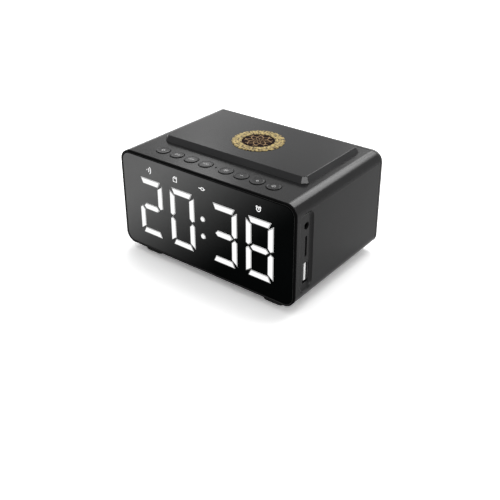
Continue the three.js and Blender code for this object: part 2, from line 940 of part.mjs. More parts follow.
// Rear cover: a full plate with two grilles, a lip inside the sleeve and a shelf for the inlet
function rearCover() {
  const plate = roundedRect(bodyWidth, bodyHeight, cornerRadius, 0, middleZ);
  const inner = rearY - rearPlate;
  const lip = roundedRect(...collarSize(0), cornerRadius - wall, 0, middleZ);
  const lipHollow = [...collarSize(rearLipWall), cornerRadius - wall - rearLipWall, 0, middleZ];
  lip.holes.push(roundedRect(...lipHollow, new THREE.Path()));
  const shelfX = inletBoardWidth / 2 - shelfMargin;
  const shelfTop = inletZ - inletThickness / 2 - seam - inletBoardThickness - fit;
  const shelfEnd = inner - inletBoardDepth + shelfMargin;
  return carve(
    alongY(plate, inner, rearY),
    [
      alongY(lip, inner - rearLip, inner + seam),
      box(-shelfX, shelfX, shelfEnd, inner + seam, shelfTop - shelfThickness, shelfTop),
    ],
    rearCuts(inner),
  );
}

function rearCuts(inner) {
  const slot = [inletWidth + usbSlack, inletThickness + usbSlack];
  const hole = roundedRect(...slot, slot[1] / 2, 0, inletZ);
  const cuts = [alongY(hole, inner - overrun, rearY + overrun)];
  for (const [, x, z] of screwPlaces()) {
    const head = circle(screwHead + fit, x, z);
    const shank = circle(screwShank + fit, x, z);
    cuts.push(alongY(head, rearY - screwHeadHeight - seam, rearY + overrun, smallSides));
    cuts.push(alongY(shank, inner - rearLip - overrun, rearY, smallSides));
  }
  for (const x of [-speakerX, speakerX]) {
    for (const [u, v] of grilleCentres()) {
      const opening = circle(grilleHole, x + u, middleZ + v);
      cuts.push(alongY(opening, inner - overrun, rearY + overrun, grilleSides));
    }
  }
  return cuts;
}

// Rear cover screw, about its own axis, with its head at y = 0 and a slot across it
function coverScrew() {
  const body = turnedAlongY(
    [
      [0, -screwLength],
      [screwShank, -screwLength + screwShank],
      [screwShank, -screwHeadHeight],
      [screwHead, -screwHeadHeight],
      [screwHead, -seam],
      [screwHead - seam, 0],
      [0, 0],
    ],
    smallSides,
  );
  const half = screwSlotWidth / 2;
  const reach = screwHead + overrun;
  const across = box(-reach, reach, -screwSlotDepth, overrun, -half, half);
  const upright = box(-half, half, -screwSlotDepth, overrun, -reach / 2, reach / 2);
  return carve(body, [], [across, upright]);
}

// Speaker pieces, about the speaker's axis, with the flange's rear face at y = 0
function speakerFrame() {
  const backY = -speakerFlange - basketDepth;
  return turnedAlongY([
    [basketRadius - basketWall, 0],
    [basketRadius - basketWall, -speakerFlange],
    [basketBackRadius - basketWall, backY + basketWall],
    [coneNeck, backY + basketWall],
    [coneNeck, backY],
    [basketBackRadius, backY],
    [basketRadius, -speakerFlange],
    [speakerRadius, -speakerFlange],
    [speakerRadius, 0],
    [basketRadius - basketWall, 0],
  ]);
}

function speakerCone() {
  const rimY = -seam;
  const neckY = rimY - coneDepth;
  return turnedAlongY([
    [0, neckY + dustCapRise - coneThickness],
    [coneNeck, neckY - coneThickness],
    [coneRadius, rimY - coneThickness],
    [coneRadius + seam, rimY - coneThickness],
    [coneRadius + seam, rimY],
    [coneRadius, rimY],
    [coneNeck, neckY],
    [0, neckY + dustCapRise],
  ]);
}

function speakerMagnet() {
  const front = -speakerFlange - basketDepth - seam;
  return turnedAlongY([
    [0, front - magnetThickness],
    [magnetRadius, front - magnetThickness],
    [magnetRadius, front],
    [0, front],
  ]);
}

// Power inlet: a rounded shell through the cover, its tongue and the board under them
const inletRearY = rearY - inletInset;

function inletShell() {
  const outline = roundedRect(inletWidth, inletThickness, inletThickness / 2, 0, inletZ);
  const step = 2 * inletMetal;
  const radius = inletThickness / 2 - inletMetal;
  const inner = [inletWidth - step, inletThickness - step, radius, 0, inletZ];
  outline.holes.push(roundedRect(...inner, new THREE.Path()));
  return alongY(outline, inletRearY - inletDepth, inletRearY);
}

function inletTongue() {
  const front = inletRearY - inletDepth;
  const step = 2 * (inletMetal + seam);
  const radius = (inletThickness - step) / 2;
  const plug = roundedRect(inletWidth - step, inletThickness - step, radius, 0, inletZ);
  const x = inletTongueWidth / 2;
  const z = inletTongueThickness / 2;
  return carve(
    alongY(plug, front, front + inletTongueBack),
    [box(-x, x, front, inletRearY - inletTongueInset, inletZ - z, inletZ + z)],
    [],
  );
}

function inletBoard() {
  const x = inletBoardWidth / 2;
  const y = rearY - rearPlate - fit;
  const z = inletZ - inletThickness / 2 - seam;
  return box(-x, x, y - inletBoardDepth, y, z - inletBoardThickness, z);
}

// Battery: a round cell along x in a cradle on the floor
const cellY = frontY + cellShare * bodyDepth;
const cradleBottomZ = innerFloorZ + seam;
const cellZ = cradleBottomZ + cradleBase + fit + cellRadius;

function batteryCell() {
  return alongX(circle(cellRadius, cellY, cellZ), -cellLength / 2, cellLength / 2, roundSides);
}

function batteryCradle() {
  const x = cradleLength / 2;
  const y = cradleWidth / 2;
  const trough = circle(cellRadius + fit, cellY, cellZ);
  return carve(
    box(-x, x, cellY - y, cellY + y, cradleBottomZ, cradleBottomZ + cradleHeight),
    [],
    [alongX(trough, -x - overrun, x + overrun, roundSides)],
  );
}

// Foot: a rubber block with a peg that sits in a hole of the sleeve's floor
function foot() {
  const side = (inwards, z) => {
    const step = 2 * inwards;
    const size = [footWidth - step, footDepth - step, footCorner - inwards];
    return { outline: roundedOutline(...size, 0, 0), z };
  };
  const block = loft([side(footEdge, 0), side(0, footEdge), side(0, footHeight)]);
  const peg = circle(pegRadius, 0, 0);
  return carve(block, [alongZ(peg, footHeight / 2, footHeight + pegLength, smallSides)], []);
}

function buildClock() {
  addPart("housing_sleeve", "housing", housingSleeve());
  addPart("front_bezel", "bezel", frontBezel());
  addPart("display_lens", "lens", displayLens());
  addPart("display_reflector", "dark", displayReflector());
  addPart("lit_segments", "lit", litGuides());
  addPart("display_board", "board", displayBoard());
  addPart("main_board", "board", mainBoard());
  addPart("key_board", "board", keyBoard());
  addPart("microphone", "rubber", microphone());
  buttonXs().forEach((x, i) => {
    addPart(`button_${i + 1}`, "cap", buttonCap(), [x, buttonY, roofZ]);
    addPart(`tact_switch_${i + 1}`, "dark", tactSwitch(), [x, buttonY, switchTopZ]);
  });
  addPart("charging_pad", "housing", chargingPad());
  addPart("ornament_ring", "gold", ornamentRing());
  addPart("ornament_centre", "ornament", ornamentCentre());
  addPart("charging_coil", "copper", chargingCoil(), [0, padY, coilTopZ]);
  addPart("ferrite_sheet", "ferrite", ferriteSheet(), [0, padY, ferriteTopZ]);
  addPart("coil_carrier", "dark", coilCarrier());
  addPart("usb_shell", "metal", usbShell());
  addPart("usb_tongue", "white", usbTongue());
  addPart("jack_socket", "dark", jackSocket());
  addPart("card_socket", "metal", cardSocket());
  addPart("rear_cover", "bezel", rearCover());
  for (const [name, x, z] of screwPlaces()) {
    addPart(name, "metal", coverScrew(), [x, rearY, z]);
  }
  addSpeaker("left", -speakerX);
  addSpeaker("right", speakerX);
  addPart("inlet_shell", "metal", inletShell());
  addPart("inlet_tongue", "dark", inletTongue());
  addPart("inlet_board", "board", inletBoard());
  addPart("battery_cell", "cell", batteryCell());
  addPart("battery_cradle", "dark", batteryCradle());
  for (const [name, x, y] of footPlaces()) {
    addPart(name, "rubber", foot(), [x, y, 0]);
  }
}

function addSpeaker(side, x) {
  const speaker = new THREE.Group();
  speaker.position.set(x, rearY - rearPlate - fit, middleZ);
  addPart(`${side}_speaker_frame`, "dark", speakerFrame(), [0, 0, 0], speaker);
  addPart(`${side}_speaker_cone`, "cone", speakerCone(), [0, 0, 0], speaker);
  addPart(`${side}_speaker_magnet`, "magnet", speakerMagnet(), [0, 0, 0], speaker);
  clock.add(speaker);
}

buildClock();

export default clock;
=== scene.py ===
"""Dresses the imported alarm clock: smooth mouldings, procedural materials and a white studio."""

import math

import bmesh
import bpy
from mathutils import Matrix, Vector

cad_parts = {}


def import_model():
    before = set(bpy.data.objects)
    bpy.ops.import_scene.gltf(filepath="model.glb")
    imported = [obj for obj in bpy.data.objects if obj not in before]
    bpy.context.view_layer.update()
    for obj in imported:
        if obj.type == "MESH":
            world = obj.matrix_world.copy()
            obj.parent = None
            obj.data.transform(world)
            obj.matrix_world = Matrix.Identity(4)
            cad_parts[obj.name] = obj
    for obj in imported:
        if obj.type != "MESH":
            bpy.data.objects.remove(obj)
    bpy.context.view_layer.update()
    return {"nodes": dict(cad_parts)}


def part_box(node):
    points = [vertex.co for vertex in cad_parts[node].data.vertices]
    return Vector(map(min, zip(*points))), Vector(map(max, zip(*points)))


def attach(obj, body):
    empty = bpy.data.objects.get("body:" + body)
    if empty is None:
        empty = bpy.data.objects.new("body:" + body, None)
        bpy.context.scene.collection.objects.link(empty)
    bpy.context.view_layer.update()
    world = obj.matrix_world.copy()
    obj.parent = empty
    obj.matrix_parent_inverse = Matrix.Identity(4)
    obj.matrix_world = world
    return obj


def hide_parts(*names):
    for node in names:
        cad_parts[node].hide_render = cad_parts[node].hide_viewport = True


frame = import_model()

# Everything below is in metres; MM turns a size in millimetres into metres
MM = 0.001

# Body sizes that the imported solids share
CORNER = 7.0 * MM
WALL = 2.8 * MM
SEAM = 0.2 * MM
BEZEL_DEPTH = 1.4 * MM
REAR_PLATE = 2.0 * MM

# Rounding of the mouldings' edges
EDGE = 0.35 * MM
BEZEL_EDGE = 0.4 * MM
RIM = 1.15 * MM
LIP_EDGE = 0.35 * MM
LENS_REBATE = 1.0 * MM
BEZEL_INNER = 4.7 * MM

# Port recess on the right side, from the body's front and bottom
RECESS_DEPTH = 1.5 * MM
RECESS_FRONT = 4.6 * MM
RECESS_REAR = 17.6 * MM
RECESS_BOTTOM = 7.2 * MM
RECESS_TOP = 56.6 * MM
RECESS_CORNER = 5.0 * MM
RECESS_FILLET = 3.0 * MM
RECESS_LIP = 0.15 * MM
LIP_ANGLES = (0, 20, 40, 60, 80)

# Openings in the recess; the jack's and the card's lie a little towards the front
JACK_HOLE = 2.2 * MM
PORT_SHIFT = -0.45 * MM
CARD_SLOT = (1.8 * MM, 12.8 * MM)
CARD_CORNER = 0.6 * MM
USB_SLACK = 0.4 * MM

# USB tongue: its walls and gap in the shell, and the four plated strips on its inner face
SHELL_WALL = 0.3 * MM
TONGUE_GAP = 0.7 * MM
TONGUE_THICKNESS = 1.84 * MM
CONTACT_COUNT = 4
CONTACT_PITCH = 2.3 * MM
CONTACT_SIZE = (7.5 * MM, 1.1 * MM)
CONTACT_CORNER = 0.2 * MM
CONTACT_INSET = 1.0 * MM
CONTACT_THICKNESS = 0.12 * MM
CONTACT_STEPS = 4

# Buttons: a cap stands proud of the roof, with a dished top, on a flange and a stem
BUTTON_COUNT = 8
CAP_STEM = 1.5 * MM
CAP_FLANGE = 1.0 * MM
CAP_FLANGE_STEP = 0.7 * MM
CAP_PROUD = 0.45 * MM
CAP_ROUND = 0.2 * MM
CAP_DISH = 0.1 * MM
CAP_DISH_FLAT = 3.2 * MM
CAP_DISH_STEPS = 6
CAP_GAP = 0.22 * MM
CAP_HOLE_EDGE = 0.12 * MM
MICROPHONE_HOLE = 0.65 * MM
SYMBOL_SIZE = 2.2 * MM
SYMBOL_STROKE = 0.17
SYMBOL_LIFT = 0.03 * MM

# Charging pad: a bevel's leg and the share by which it shrinks up the slope, and the
# radius at the bevel's ends as a share of the leg
PAD_HEIGHT = 3.5 * MM
PAD_SLOPE = 2.0 * MM
PAD_BEVEL = 3.6 * MM
PAD_TAPER = 0.8
PAD_BLEND = 0.3
PAD_REAR_BEVEL = 3.2 * MM
PAD_REAR_TAPER = 0.6
PAD_REAR_BLEND = 1.5
PAD_ROUND = 0.45 * MM
PAD_ROUND_STEPS = 8

# A face is a slope of the pad if its normal has less z than this, and more x or y than this
TOP_NORMAL = 0.9
SIDE_NORMAL = 0.8

# The roof's opening under the pad, whose edge lies this far inside the pad's
WINDOW_MARGIN = 6.0 * MM
WINDOW_CORNER = 4.0 * MM

# Ornament
ORNAMENT_HOLE = 10.3 * MM
ORNAMENT_LOBES = 24
LOBE_STEPS = 8
LOBE_DEPTH = 0.55 * MM
ORNAMENT_TRIM = 0.4 * MM
ORNAMENT_EDGE = 0.12 * MM

# Rear cover
GRILLE_HOLE = 1.35 * MM
GRILLE_PITCH = 4.0 * MM
GRILLE_RINGS = 3
SCREW_HEAD = 2.9 * MM
SCREW_HEAD_DEPTH = 1.3 * MM
INLET_SLOT = (9.4 * MM, 3.6 * MM)
INLET_Z = 10.8 * MM
CUT_REACH = 1.0 * MM

# Feet
FOOT_CORNER = 3.0 * MM
FOOT_EDGE = 0.6 * MM

# Lit digits: a dimmer rim runs inside the outline of each light guide
SEGMENT_RIM = 0.33 * MM
MERGE_DISTANCE = 0.001 * MM
FACE_TOLERANCE = 0.01 * MM

# Icons over the digits; the stroke is a share of the height
ICON_HEIGHT = 3.2 * MM
ICON_STROKE = 0.145
ICON_RISE = 55.5 * MM
ICON_DEPTH = 0.05 * MM
ICON_PLACES = {"waves": -41.8 * MM, "card": -20.6 * MM, "plug": 0.1 * MM, "alarm": 40.9 * MM}

# Steps of the curves; the angle in degrees between a bevel and a side, and the one up to
# which an edge is smooth; and how much more large faces count where normals are weighted
CORNER_STEPS = 24
SMALL_CORNER_STEPS = 6
BEVEL_STEPS = 4
EDGE_STEPS = 5
FILLET_STEPS = 8
ROUND_SIDES = 64
HOLE_SIDES = 24
JACK_SIDES = 32
WELL_SIDES = 40
GRILLE_SIDES = 20
BEVEL_TURN = 45
SMOOTH_ANGLE = 32
FACE_WEIGHT = 90

node_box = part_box
COLLECTION = bpy.context.scene.collection


# ---- Meshes ----


def outline(width, height, radius, steps=CORNER_STEPS):
    """Points of a rounded rectangle about its centre, counter-clockwise."""
    points = []
    centres = [(1, -1, -90), (1, 1, 0), (-1, 1, 90), (-1, -1, 180)]
    for sx, sy, start in centres:
        cx = sx * (width / 2 - radius)
        cy = sy * (height / 2 - radius)
        for i in range(steps + 1):
            angle = math.radians(start + 90 * i / steps)
            points.append((cx + radius * math.cos(angle), cy + radius * math.sin(angle)))
    return points


def bevelled(width, height, bevels, steps=BEVEL_STEPS):
    """Points of a rectangle with bevelled corners, counter-clockwise.

    Each bevel is its leg and the radius that blends both its ends into the sides.
    """
    points = []
    for quarter, (leg, blend) in enumerate(bevels):
        reach = blend * math.tan(math.radians(BEVEL_TURN / 2))
        turn = math.radians(90 * quarter)
        across, along = (width, height) if quarter % 2 == 0 else (height, width)
        ends = [(across / 2, along / 2 - leg, 0), (across / 2 - leg, along / 2, BEVEL_TURN)]
        for u, v, start in ends:
            du, dv = math.sin(math.radians(start)), -math.cos(math.radians(start))
            cu = u + du * reach - blend * math.cos(math.radians(start))
            cv = v + dv * reach - blend * math.sin(math.radians(start))
            for i in range(steps + 1):
                angle = math.radians(start + BEVEL_TURN * i / steps)
                x, y = cu + blend * math.cos(angle), cv + blend * math.sin(angle)
                turned_x = x * math.cos(turn) - y * math.sin(turn)
                turned_y = x * math.sin(turn) + y * math.cos(turn)
                points.append((turned_x, turned_y))
    return points


def circle(radius, sides=HOLE_SIDES):
    return [
        (radius * math.cos(2 * math.pi * i / sides), radius * math.sin(2 * math.pi * i / sides))
        for i in range(sides)
    ]


def arc(cx, cy, radius, start, end, steps=EDGE_STEPS):
    """Points of an arc between two angles in degrees."""
    points = []
    for i in range(steps + 1):
        angle = math.radians(start + (end - start) * i / steps)
        points.append((cx + radius * math.cos(angle), cy + radius * math.sin(angle)))
    return points


def mesh_object(name, bm):
    bmesh.ops.recalc_face_normals(bm, faces=bm.faces)
    mesh = bpy.data.meshes.new(name)
    bm.to_mesh(mesh)
    bm.free()
    obj = bpy.data.objects.new(name, mesh)
    COLLECTION.objects.link(obj)
    smooth(obj)
    return obj


def smooth(obj):
    obj.data.shade_smooth()
    obj.data.set_sharp_from_angle(angle=math.radians(SMOOTH_ANGLE))


def weighted(obj):
    """Keeps flat faces flat beside rounded edges."""
    modifier = obj.modifiers.new("weighted", "WEIGHTED_NORMAL")
    modifier.keep_sharp = True
    modifier.weight = FACE_WEIGHT


def skin(rings, cyclic=False):
    """Joins rings of equal point count; the ends are capped unless the rings form a loop."""
    bm = bmesh.new()
    rows = [[bm.verts.new(point) for point in ring] for ring in rings]
    count = len(rows[0])
    pairs = len(rows) if cyclic else len(rows) - 1
    for r in range(pairs):
        first = rows[r]
        second = rows[(r + 1) % len(rows)]
        for i in range(count):
            j = (i + 1) % count
            bm.faces.new((first[i], first[j], second[j], second[i]))
    if not cyclic:
        bm.faces.new(rows[0])
        bm.faces.new(rows[-1])
    return bm


def place(points, axis, level, centre=(0, 0)):
    """Puts flat points on the plane across an axis, at a level along it."""
    cu, cv = centre
    if axis == "x":
        return [Vector((level, cu + u, cv + v)) for u, v in points]
    if axis == "y":
        return [Vector((cu + u, level, cv + v)) for u, v in points]
    return [Vector((cu + u, cv + v, level)) for u, v in points]


def shell_rings(width, height, corner, path, axis, centre):
    """Rings of one rounded rectangle, each drawn in by path's first value at its second."""
    rings = []
    for inset, level in path:
        points = outline(width - 2 * inset, height - 2 * inset, corner - inset)
        rings.append(place(points, axis, level, centre))
    return rings


def turned(name, profile):
    """A piece turned about z, from (radius, z) points between two points on the axis."""
    sides = ROUND_SIDES
    bm = bmesh.new()
    rows = []
    for radius, z in profile:
        if radius == 0:
            rows.append([bm.verts.new((0, 0, z))])
        else:
            rows.append([bm.verts.new((x, y, z)) for x, y in circle(radius, sides)])
    for lower, upper in zip(rows, rows[1:]):
        for i in range(sides):
            j = (i + 1) % sides
            corners = [lower[i % len(lower)], lower[j % len(lower)]]
            corners += [upper[j % len(upper)], upper[i % len(upper)]]
            unique = [v for k, v in enumerate(corners) if v not in corners[:k]]
            if len(unique) > 2:
                bm.faces.new(unique)
    return mesh_object(name, bm)


def prism(name, points, axis, low, high, centre=(0, 0)):
    """A flat outline carried along an axis, from low to high."""
    rings = [place(points, axis, low, centre), place(points, axis, high, centre)]
    return mesh_object(name, skin(rings))


def cut(obj, cutters):
    """Takes the cutters from the piece, bakes the result and removes them."""
    for cutter in cutters:
        modifier = obj.modifiers.new("cut", "BOOLEAN")
        modifier.operation = "DIFFERENCE"
        modifier.solver = "MANIFOLD"
        modifier.object = cutter
    bpy.context.view_layer.update()
    result = obj.evaluated_get(bpy.context.evaluated_depsgraph_get())
    mesh = bpy.data.meshes.new_from_object(result)
    obj.modifiers.clear()
    obj.data = mesh
    for cutter in cutters:
        bpy.data.objects.remove(cutter)
    smooth(obj)
    return obj


def dress(obj, material, body, *replaced):
    """Gives a piece its material and body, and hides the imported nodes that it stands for."""
    obj.data.materials.clear()
    obj.data.materials.append(material)
    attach(obj, body)
    if replaced:
        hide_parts(*replaced)
    return obj


# ---- Materials ----

# Noise: scales per metre, the span of the noise that shows, and its darkest and lightest share
BROAD_SCALE = 38.0
BROAD_SPAN = (0.3, 0.7)
BROAD_SHADES = (0.92, 1.08)
GRAIN_STRENGTH = 0.35
BRUSH_SCALE = (60, 900, 900)
BRUSH_SPAN = (0.25, 0.75)
BRUSH_SHADES = (0.8, 1.1)
BRUSH_GLOSS = (0.8, 1.25)


class Nodes:
    """A short way to write a material's or the world's node tree."""

    def __init__(self, tree):
        self.tree = tree
        tree.nodes.clear()

    def link(self, source, socket):
        self.tree.links.new(source, socket)

    def add(self, kind, links=(), **values):
        """A node, with what feeds its sockets, and its settings and constants by name."""
        node = self.tree.nodes.new(kind)
        for key, value in values.items():
            if hasattr(node, key):
                setattr(node, key, value)
            else:
                node.inputs[key.replace("_", " ")].default_value = value
        for socket, source in dict(links).items():
            self.link(source, node.inputs[socket])
        return node

    def math(self, operation, *values, clamp=False):
        node = self.tree.nodes.new("ShaderNodeMath")
        node.operation = operation
        node.use_clamp = clamp
        for socket, value in zip(node.inputs, values):
            if isinstance(value, (int, float)):
                socket.default_value = value
            else:
                self.link(value, socket)
        return node.outputs[0]

    def ramp(self, factor, stops):
        node = self.tree.nodes.new("ShaderNodeValToRGB")
        elements = node.color_ramp.elements
        while len(elements) < len(stops):
            elements.new(0.5)
        for element, (position, color) in zip(elements, stops):
            element.position = position
            element.color = (*color, 1)
        self.link(factor, node.inputs["Fac"])
        return node.outputs["Color"]

    def spot(self):
        """Where the shaded point lies on its object."""
        return self.add("ShaderNodeTexCoord").outputs["Object"]

    def axes(self, vector):
        return self.add("ShaderNodeSeparateXYZ", {"Vector": vector}).outputs

    def noise(self, where, scale, detail):
        node = self.add("ShaderNodeTexNoise", {"Vector": where}, Scale=scale, Detail=detail)
        return node.outputs["Fac"]

    def between(self, factor, low, high):
        """A factor of 0 to 1 taken to a range."""
        node = self.add("ShaderNodeMapRange", {"Value": factor}, To_Min=low, To_Max=high)
        return node.outputs["Result"]

    def bump(self, strength, depth, **links):
        node = self.add("ShaderNodeBump", links, Strength=strength, Distance=depth * MM)
        return node.outputs["Normal"]


def new_material(name):
    material = bpy.data.materials.new(name)
    material.use_nodes = True
    nodes = Nodes(material.node_tree)
    shader = nodes.add("ShaderNodeBsdfPrincipled")
    output = nodes.add("ShaderNodeOutputMaterial")
    nodes.link(shader.outputs[0], output.inputs["Surface"])
    return material, nodes, shader


def fill(nodes, shader, links, **constants):
    """Feeds the shader's sockets and sets its constants, each by the socket's name."""
    for socket, source in links.items():
        nodes.link(source, shader.inputs[socket])
    for key, value in constants.items():
        shader.inputs[key.replace("_", " ")].default_value = value


def shaded(color, factor):
    return tuple(min(1.0, channel * factor) for channel in color)


def shades(color, span, factors):
    """Ramp stops from a darker to a lighter shade of a colour."""
    return [(position, shaded(color, factor)) for position, factor in zip(span, factors)]


def moulded(name, color, roughness, grain=900, depth=0.012, spread=0.06, spec=0.5, soften=0.12):
    """Moulded surface: fine grain, uneven gloss and softened edges; depth and soften in mm."""
    material, nodes, shader = new_material(name)
    spot = nodes.spot()
    fine = nodes.noise(spot, grain, 3.0)
    broad = nodes.noise(spot, BROAD_SCALE, 2.0)
    edge = nodes.add("ShaderNodeBevel", samples=4, Radius=soften * MM)
    links = {
        "Base Color": nodes.ramp(broad, shades(color, BROAD_SPAN, BROAD_SHADES)),
        "Roughness": nodes.between(broad, roughness - spread / 2, roughness + spread / 2),
        "Normal": nodes.bump(GRAIN_STRENGTH, depth, Height=fine, Normal=edge.outputs["Normal"]),
    }
    fill(nodes, shader, links, Specular_IOR_Level=spec)
    return material


def brushed(name, color, roughness):
    """Plated metal with fine lines along one axis."""
    material, nodes, shader = new_material(name)
    mapping = nodes.add("ShaderNodeMapping", {"Vector": nodes.spot()}, Scale=BRUSH_SCALE)
    lines = nodes.noise(mapping.outputs["Vector"], 1.0, 4.0)
    links = {
        "Base Color": nodes.ramp(lines, shades(color, BRUSH_SPAN, BRUSH_SHADES)),
        "Roughness": nodes.between(lines, *(roughness * share for share in BRUSH_GLOSS)),
    }
    fill(nodes, shader, links, Metallic=1.0)
    return material


# Dark lens, with a painted reflection in its colour that is strongest at the upper left and ends
# along a slanting line.
# Places are in metres on the panel, and the painted reflection is a share of white
LENS_SPEC = 0.01
LENS_DARK = (0.0008, 0.0013, 0.0013)
LENS_GLOSS = (0.05, 0.11)
LENS_BORDER = 0.3 * MM
LENS_CORNER = 5.85 * MM
PAINTED_REFLECTION_PEAK = 0.169
PAINTED_REFLECTION_SLOPE = 1.036
PAINTED_REFLECTION_START = 0.0423
PAINTED_REFLECTION_SPAN = 0.10825
PAINTED_REFLECTION_RISE = 2.1
PAINTED_REFLECTION_SHOULDER = 1.6
PAINTED_REFLECTION_LEVEL_Z = 0.0352
DUST_SCALE = 22.0
DUST_IN_PAINTED_REFLECTION = (0.06, 0.97)


def inside_border(nodes, axes):
    """1 on the panel and 0 on the black line printed round its edge."""
    low, high = node_box("display_lens")
    over = []
    for axis, near, far in (("X", low.x, high.x), ("Z", low.z, high.z)):
        away = nodes.math("ABSOLUTE", nodes.math("SUBTRACT", axes[axis], (near + far) / 2))
        beyond = nodes.math("SUBTRACT", away, (far - near) / 2 - LENS_CORNER)
        beyond = nodes.math("MAXIMUM", beyond, 0.0)
        over.append(nodes.math("MULTIPLY", beyond, beyond))
    reach = nodes.math("SQRT", nodes.math("ADD", *over))
    return nodes.math("LESS_THAN", reach, LENS_CORNER - LENS_BORDER)


def lens_material():
    material, nodes, shader = new_material("smoked_lens_painted_reflection")
    spot = nodes.spot()
    axes = nodes.axes(spot)
    # Painted reflection: a lighter grey towards the upper left that ends along a slanting line,
    # made uneven by the dust
    rise = nodes.math("MULTIPLY", nodes.math("SUBTRACT", axes["Z"], PAINTED_REFLECTION_LEVEL_Z), PAINTED_REFLECTION_SLOPE)
    across = nodes.math("SUBTRACT", axes["X"], rise)
    depth = nodes.math("SUBTRACT", PAINTED_REFLECTION_START, across)
    share = nodes.math("DIVIDE", depth, PAINTED_REFLECTION_SPAN, clamp=True)
    clear = nodes.math("SUBTRACT", 1.0, nodes.math("POWER", share, PAINTED_REFLECTION_RISE))
    painted_reflection = nodes.math("SUBTRACT", 1.0, nodes.math("POWER", clear, PAINTED_REFLECTION_SHOULDER))
    dust = nodes.noise(spot, DUST_SCALE, 3.0)
    uneven = nodes.math("MULTIPLY_ADD", dust, *DUST_IN_PAINTED_REFLECTION)
    level = nodes.math("MULTIPLY", painted_reflection, nodes.math("MULTIPLY", uneven, PAINTED_REFLECTION_PEAK))
    level = nodes.math("MULTIPLY", level, inside_border(nodes, axes))
    links = {
        "Base Color": nodes.ramp(level, [(0.0, LENS_DARK), (1.0, (1.0, 1.0, 1.0))]),
        "Roughness": nodes.between(dust, *LENS_GLOSS),
    }
    fill(nodes, shader, links, Specular_IOR_Level=LENS_SPEC)
    return material


LIT_BASE = (0.03, 0.03, 0.03, 1)
LIT_CLOUD_SCALE = 240.0


def lit_material(name, strength, unevenness=0.03):
    """Light guide: white and lit, with the slight unevenness of a diffuser."""
    material, nodes, shader = new_material(name)
    cloud = nodes.noise(nodes.spot(), LIT_CLOUD_SCALE, 2.0)
    level = nodes.between(cloud, strength * (1 - unevenness), strength * (1 + unevenness))
    constants = {"Base_Color": LIT_BASE, "Emission_Color": (1, 1, 1, 1), "Roughness": 0.4}
    fill(nodes, shader, {"Emission Strength": level}, Specular_IOR_Level=LENS_SPEC, **constants)
    return material


# Ornament: leaves round the gold ring, a rosette on the disc. The rim and the bump's depth are
# in mm, a lean is in radians per mm, and the line's width is a share of a wave
GOLD = (0.385, 0.292, 0.113)
GOLD_DARK = (0.05, 0.028, 0.01)
GOLD_SPAN = (0.45, 0.53, 0.7)
GOLD_SHADES = (0.75, 1.1, 1.6)
GOLD_DARK_STOP = 0.37
LEAF_COUNT = 24
LEAF_LEAN = 1.9
LEAF_DEPTH = 0.12
GOLD_SPECKS = 640.0
GOLD_BUMP = (0.3, 0.03)
ORNAMENT_DARK = (0.008, 0.002, 0.002)
ORNAMENT_LINE = (0.38, 0.25, 0.135)
ORNAMENT_RIM = 8.7
ORNAMENT_ROUGHNESS = 0.35
RING_SPEC = 0.08
DISC_SPEC = 0.008
DISC_SPECKS = 600.0
ROSETTE_COUNT = 4
ROSETTE_LEAN = 0.62
LINE_WIDTH = 0.42


def polar(nodes, spot, centre):
    """Angle and radius in millimetres about the ornament's centre."""
    axes = nodes.axes(spot)
    x = nodes.math("SUBTRACT", axes["X"], centre.x)
    y = nodes.math("SUBTRACT", axes["Y"], centre.y)
    squares = nodes.math("ADD", nodes.math("MULTIPLY", x, x), nodes.math("MULTIPLY", y, y))
    radius = nodes.math("MULTIPLY", nodes.math("SQRT", squares), 1 / MM)
    return nodes.math("ARCTAN2", y, x), radius


def crossing_waves(nodes, angle, radius, count, lean):
    """Two sets of waves that wind outwards in opposite directions."""
    turns = nodes.math("MULTIPLY", angle, count)
    drift = nodes.math("MULTIPLY", radius, lean)
    return [nodes.math("SINE", nodes.math(way, turns, drift)) for way in ("ADD", "SUBTRACT")]


def gold_material(centre):
    """Gold print, worked all over with rows of small dark leaves that run round the ring."""
    material, nodes, shader = new_material("ornament_gold")
    spot = nodes.spot()
    leaves = nodes.math(
        "MULTIPLY", *crossing_waves(nodes, *polar(nodes, spot, centre), LEAF_COUNT, LEAF_LEAN)
    )
    speck = nodes.noise(spot, GOLD_SPECKS, 1.0)
    height = nodes.math("ADD", nodes.math("MULTIPLY", leaves, LEAF_DEPTH), speck)
    stops = [(GOLD_DARK_STOP, GOLD_DARK)] + shades(GOLD, GOLD_SPAN, GOLD_SHADES)
    links = {
        "Base Color": nodes.ramp(height, stops),
        "Normal": nodes.bump(*GOLD_BUMP, Height=height),
    }
    fill(nodes, shader, links, Specular_IOR_Level=RING_SPEC, Roughness=ORNAMENT_ROUGHNESS)
    return material


def ornament_material(centre):
    """Dark disc with a rosette of crossing lines inside a plain rim."""
    material, nodes, shader = new_material("ornament_dark")
    spot = nodes.spot()
    angle, radius = polar(nodes, spot, centre)
    waves = crossing_waves(nodes, angle, radius, ROSETTE_COUNT, ROSETTE_LEAN)
    lines = nodes.math("MINIMUM", *(nodes.math("ABSOLUTE", wave) for wave in waves))
    inside = nodes.math("LESS_THAN", radius, ORNAMENT_RIM)
    width = nodes.math("MULTIPLY", nodes.noise(spot, DISC_SPECKS, 1.0), LINE_WIDTH)
    drawn = nodes.math("MULTIPLY", nodes.math("LESS_THAN", lines, width), inside)
    links = {"Base Color": nodes.ramp(drawn, [(0.0, ORNAMENT_DARK), (1.0, ORNAMENT_LINE)])}
    fill(nodes, shader, links, Specular_IOR_Level=DISC_SPEC, Roughness=ORNAMENT_ROUGHNESS)
    return material


TONGUE_WHITE = (0.99, 0.99, 0.98)
TONGUE_PAINTED_SHADE = (0.25, 0.25, 0.25)
TONGUE_GRAIN = 900.0


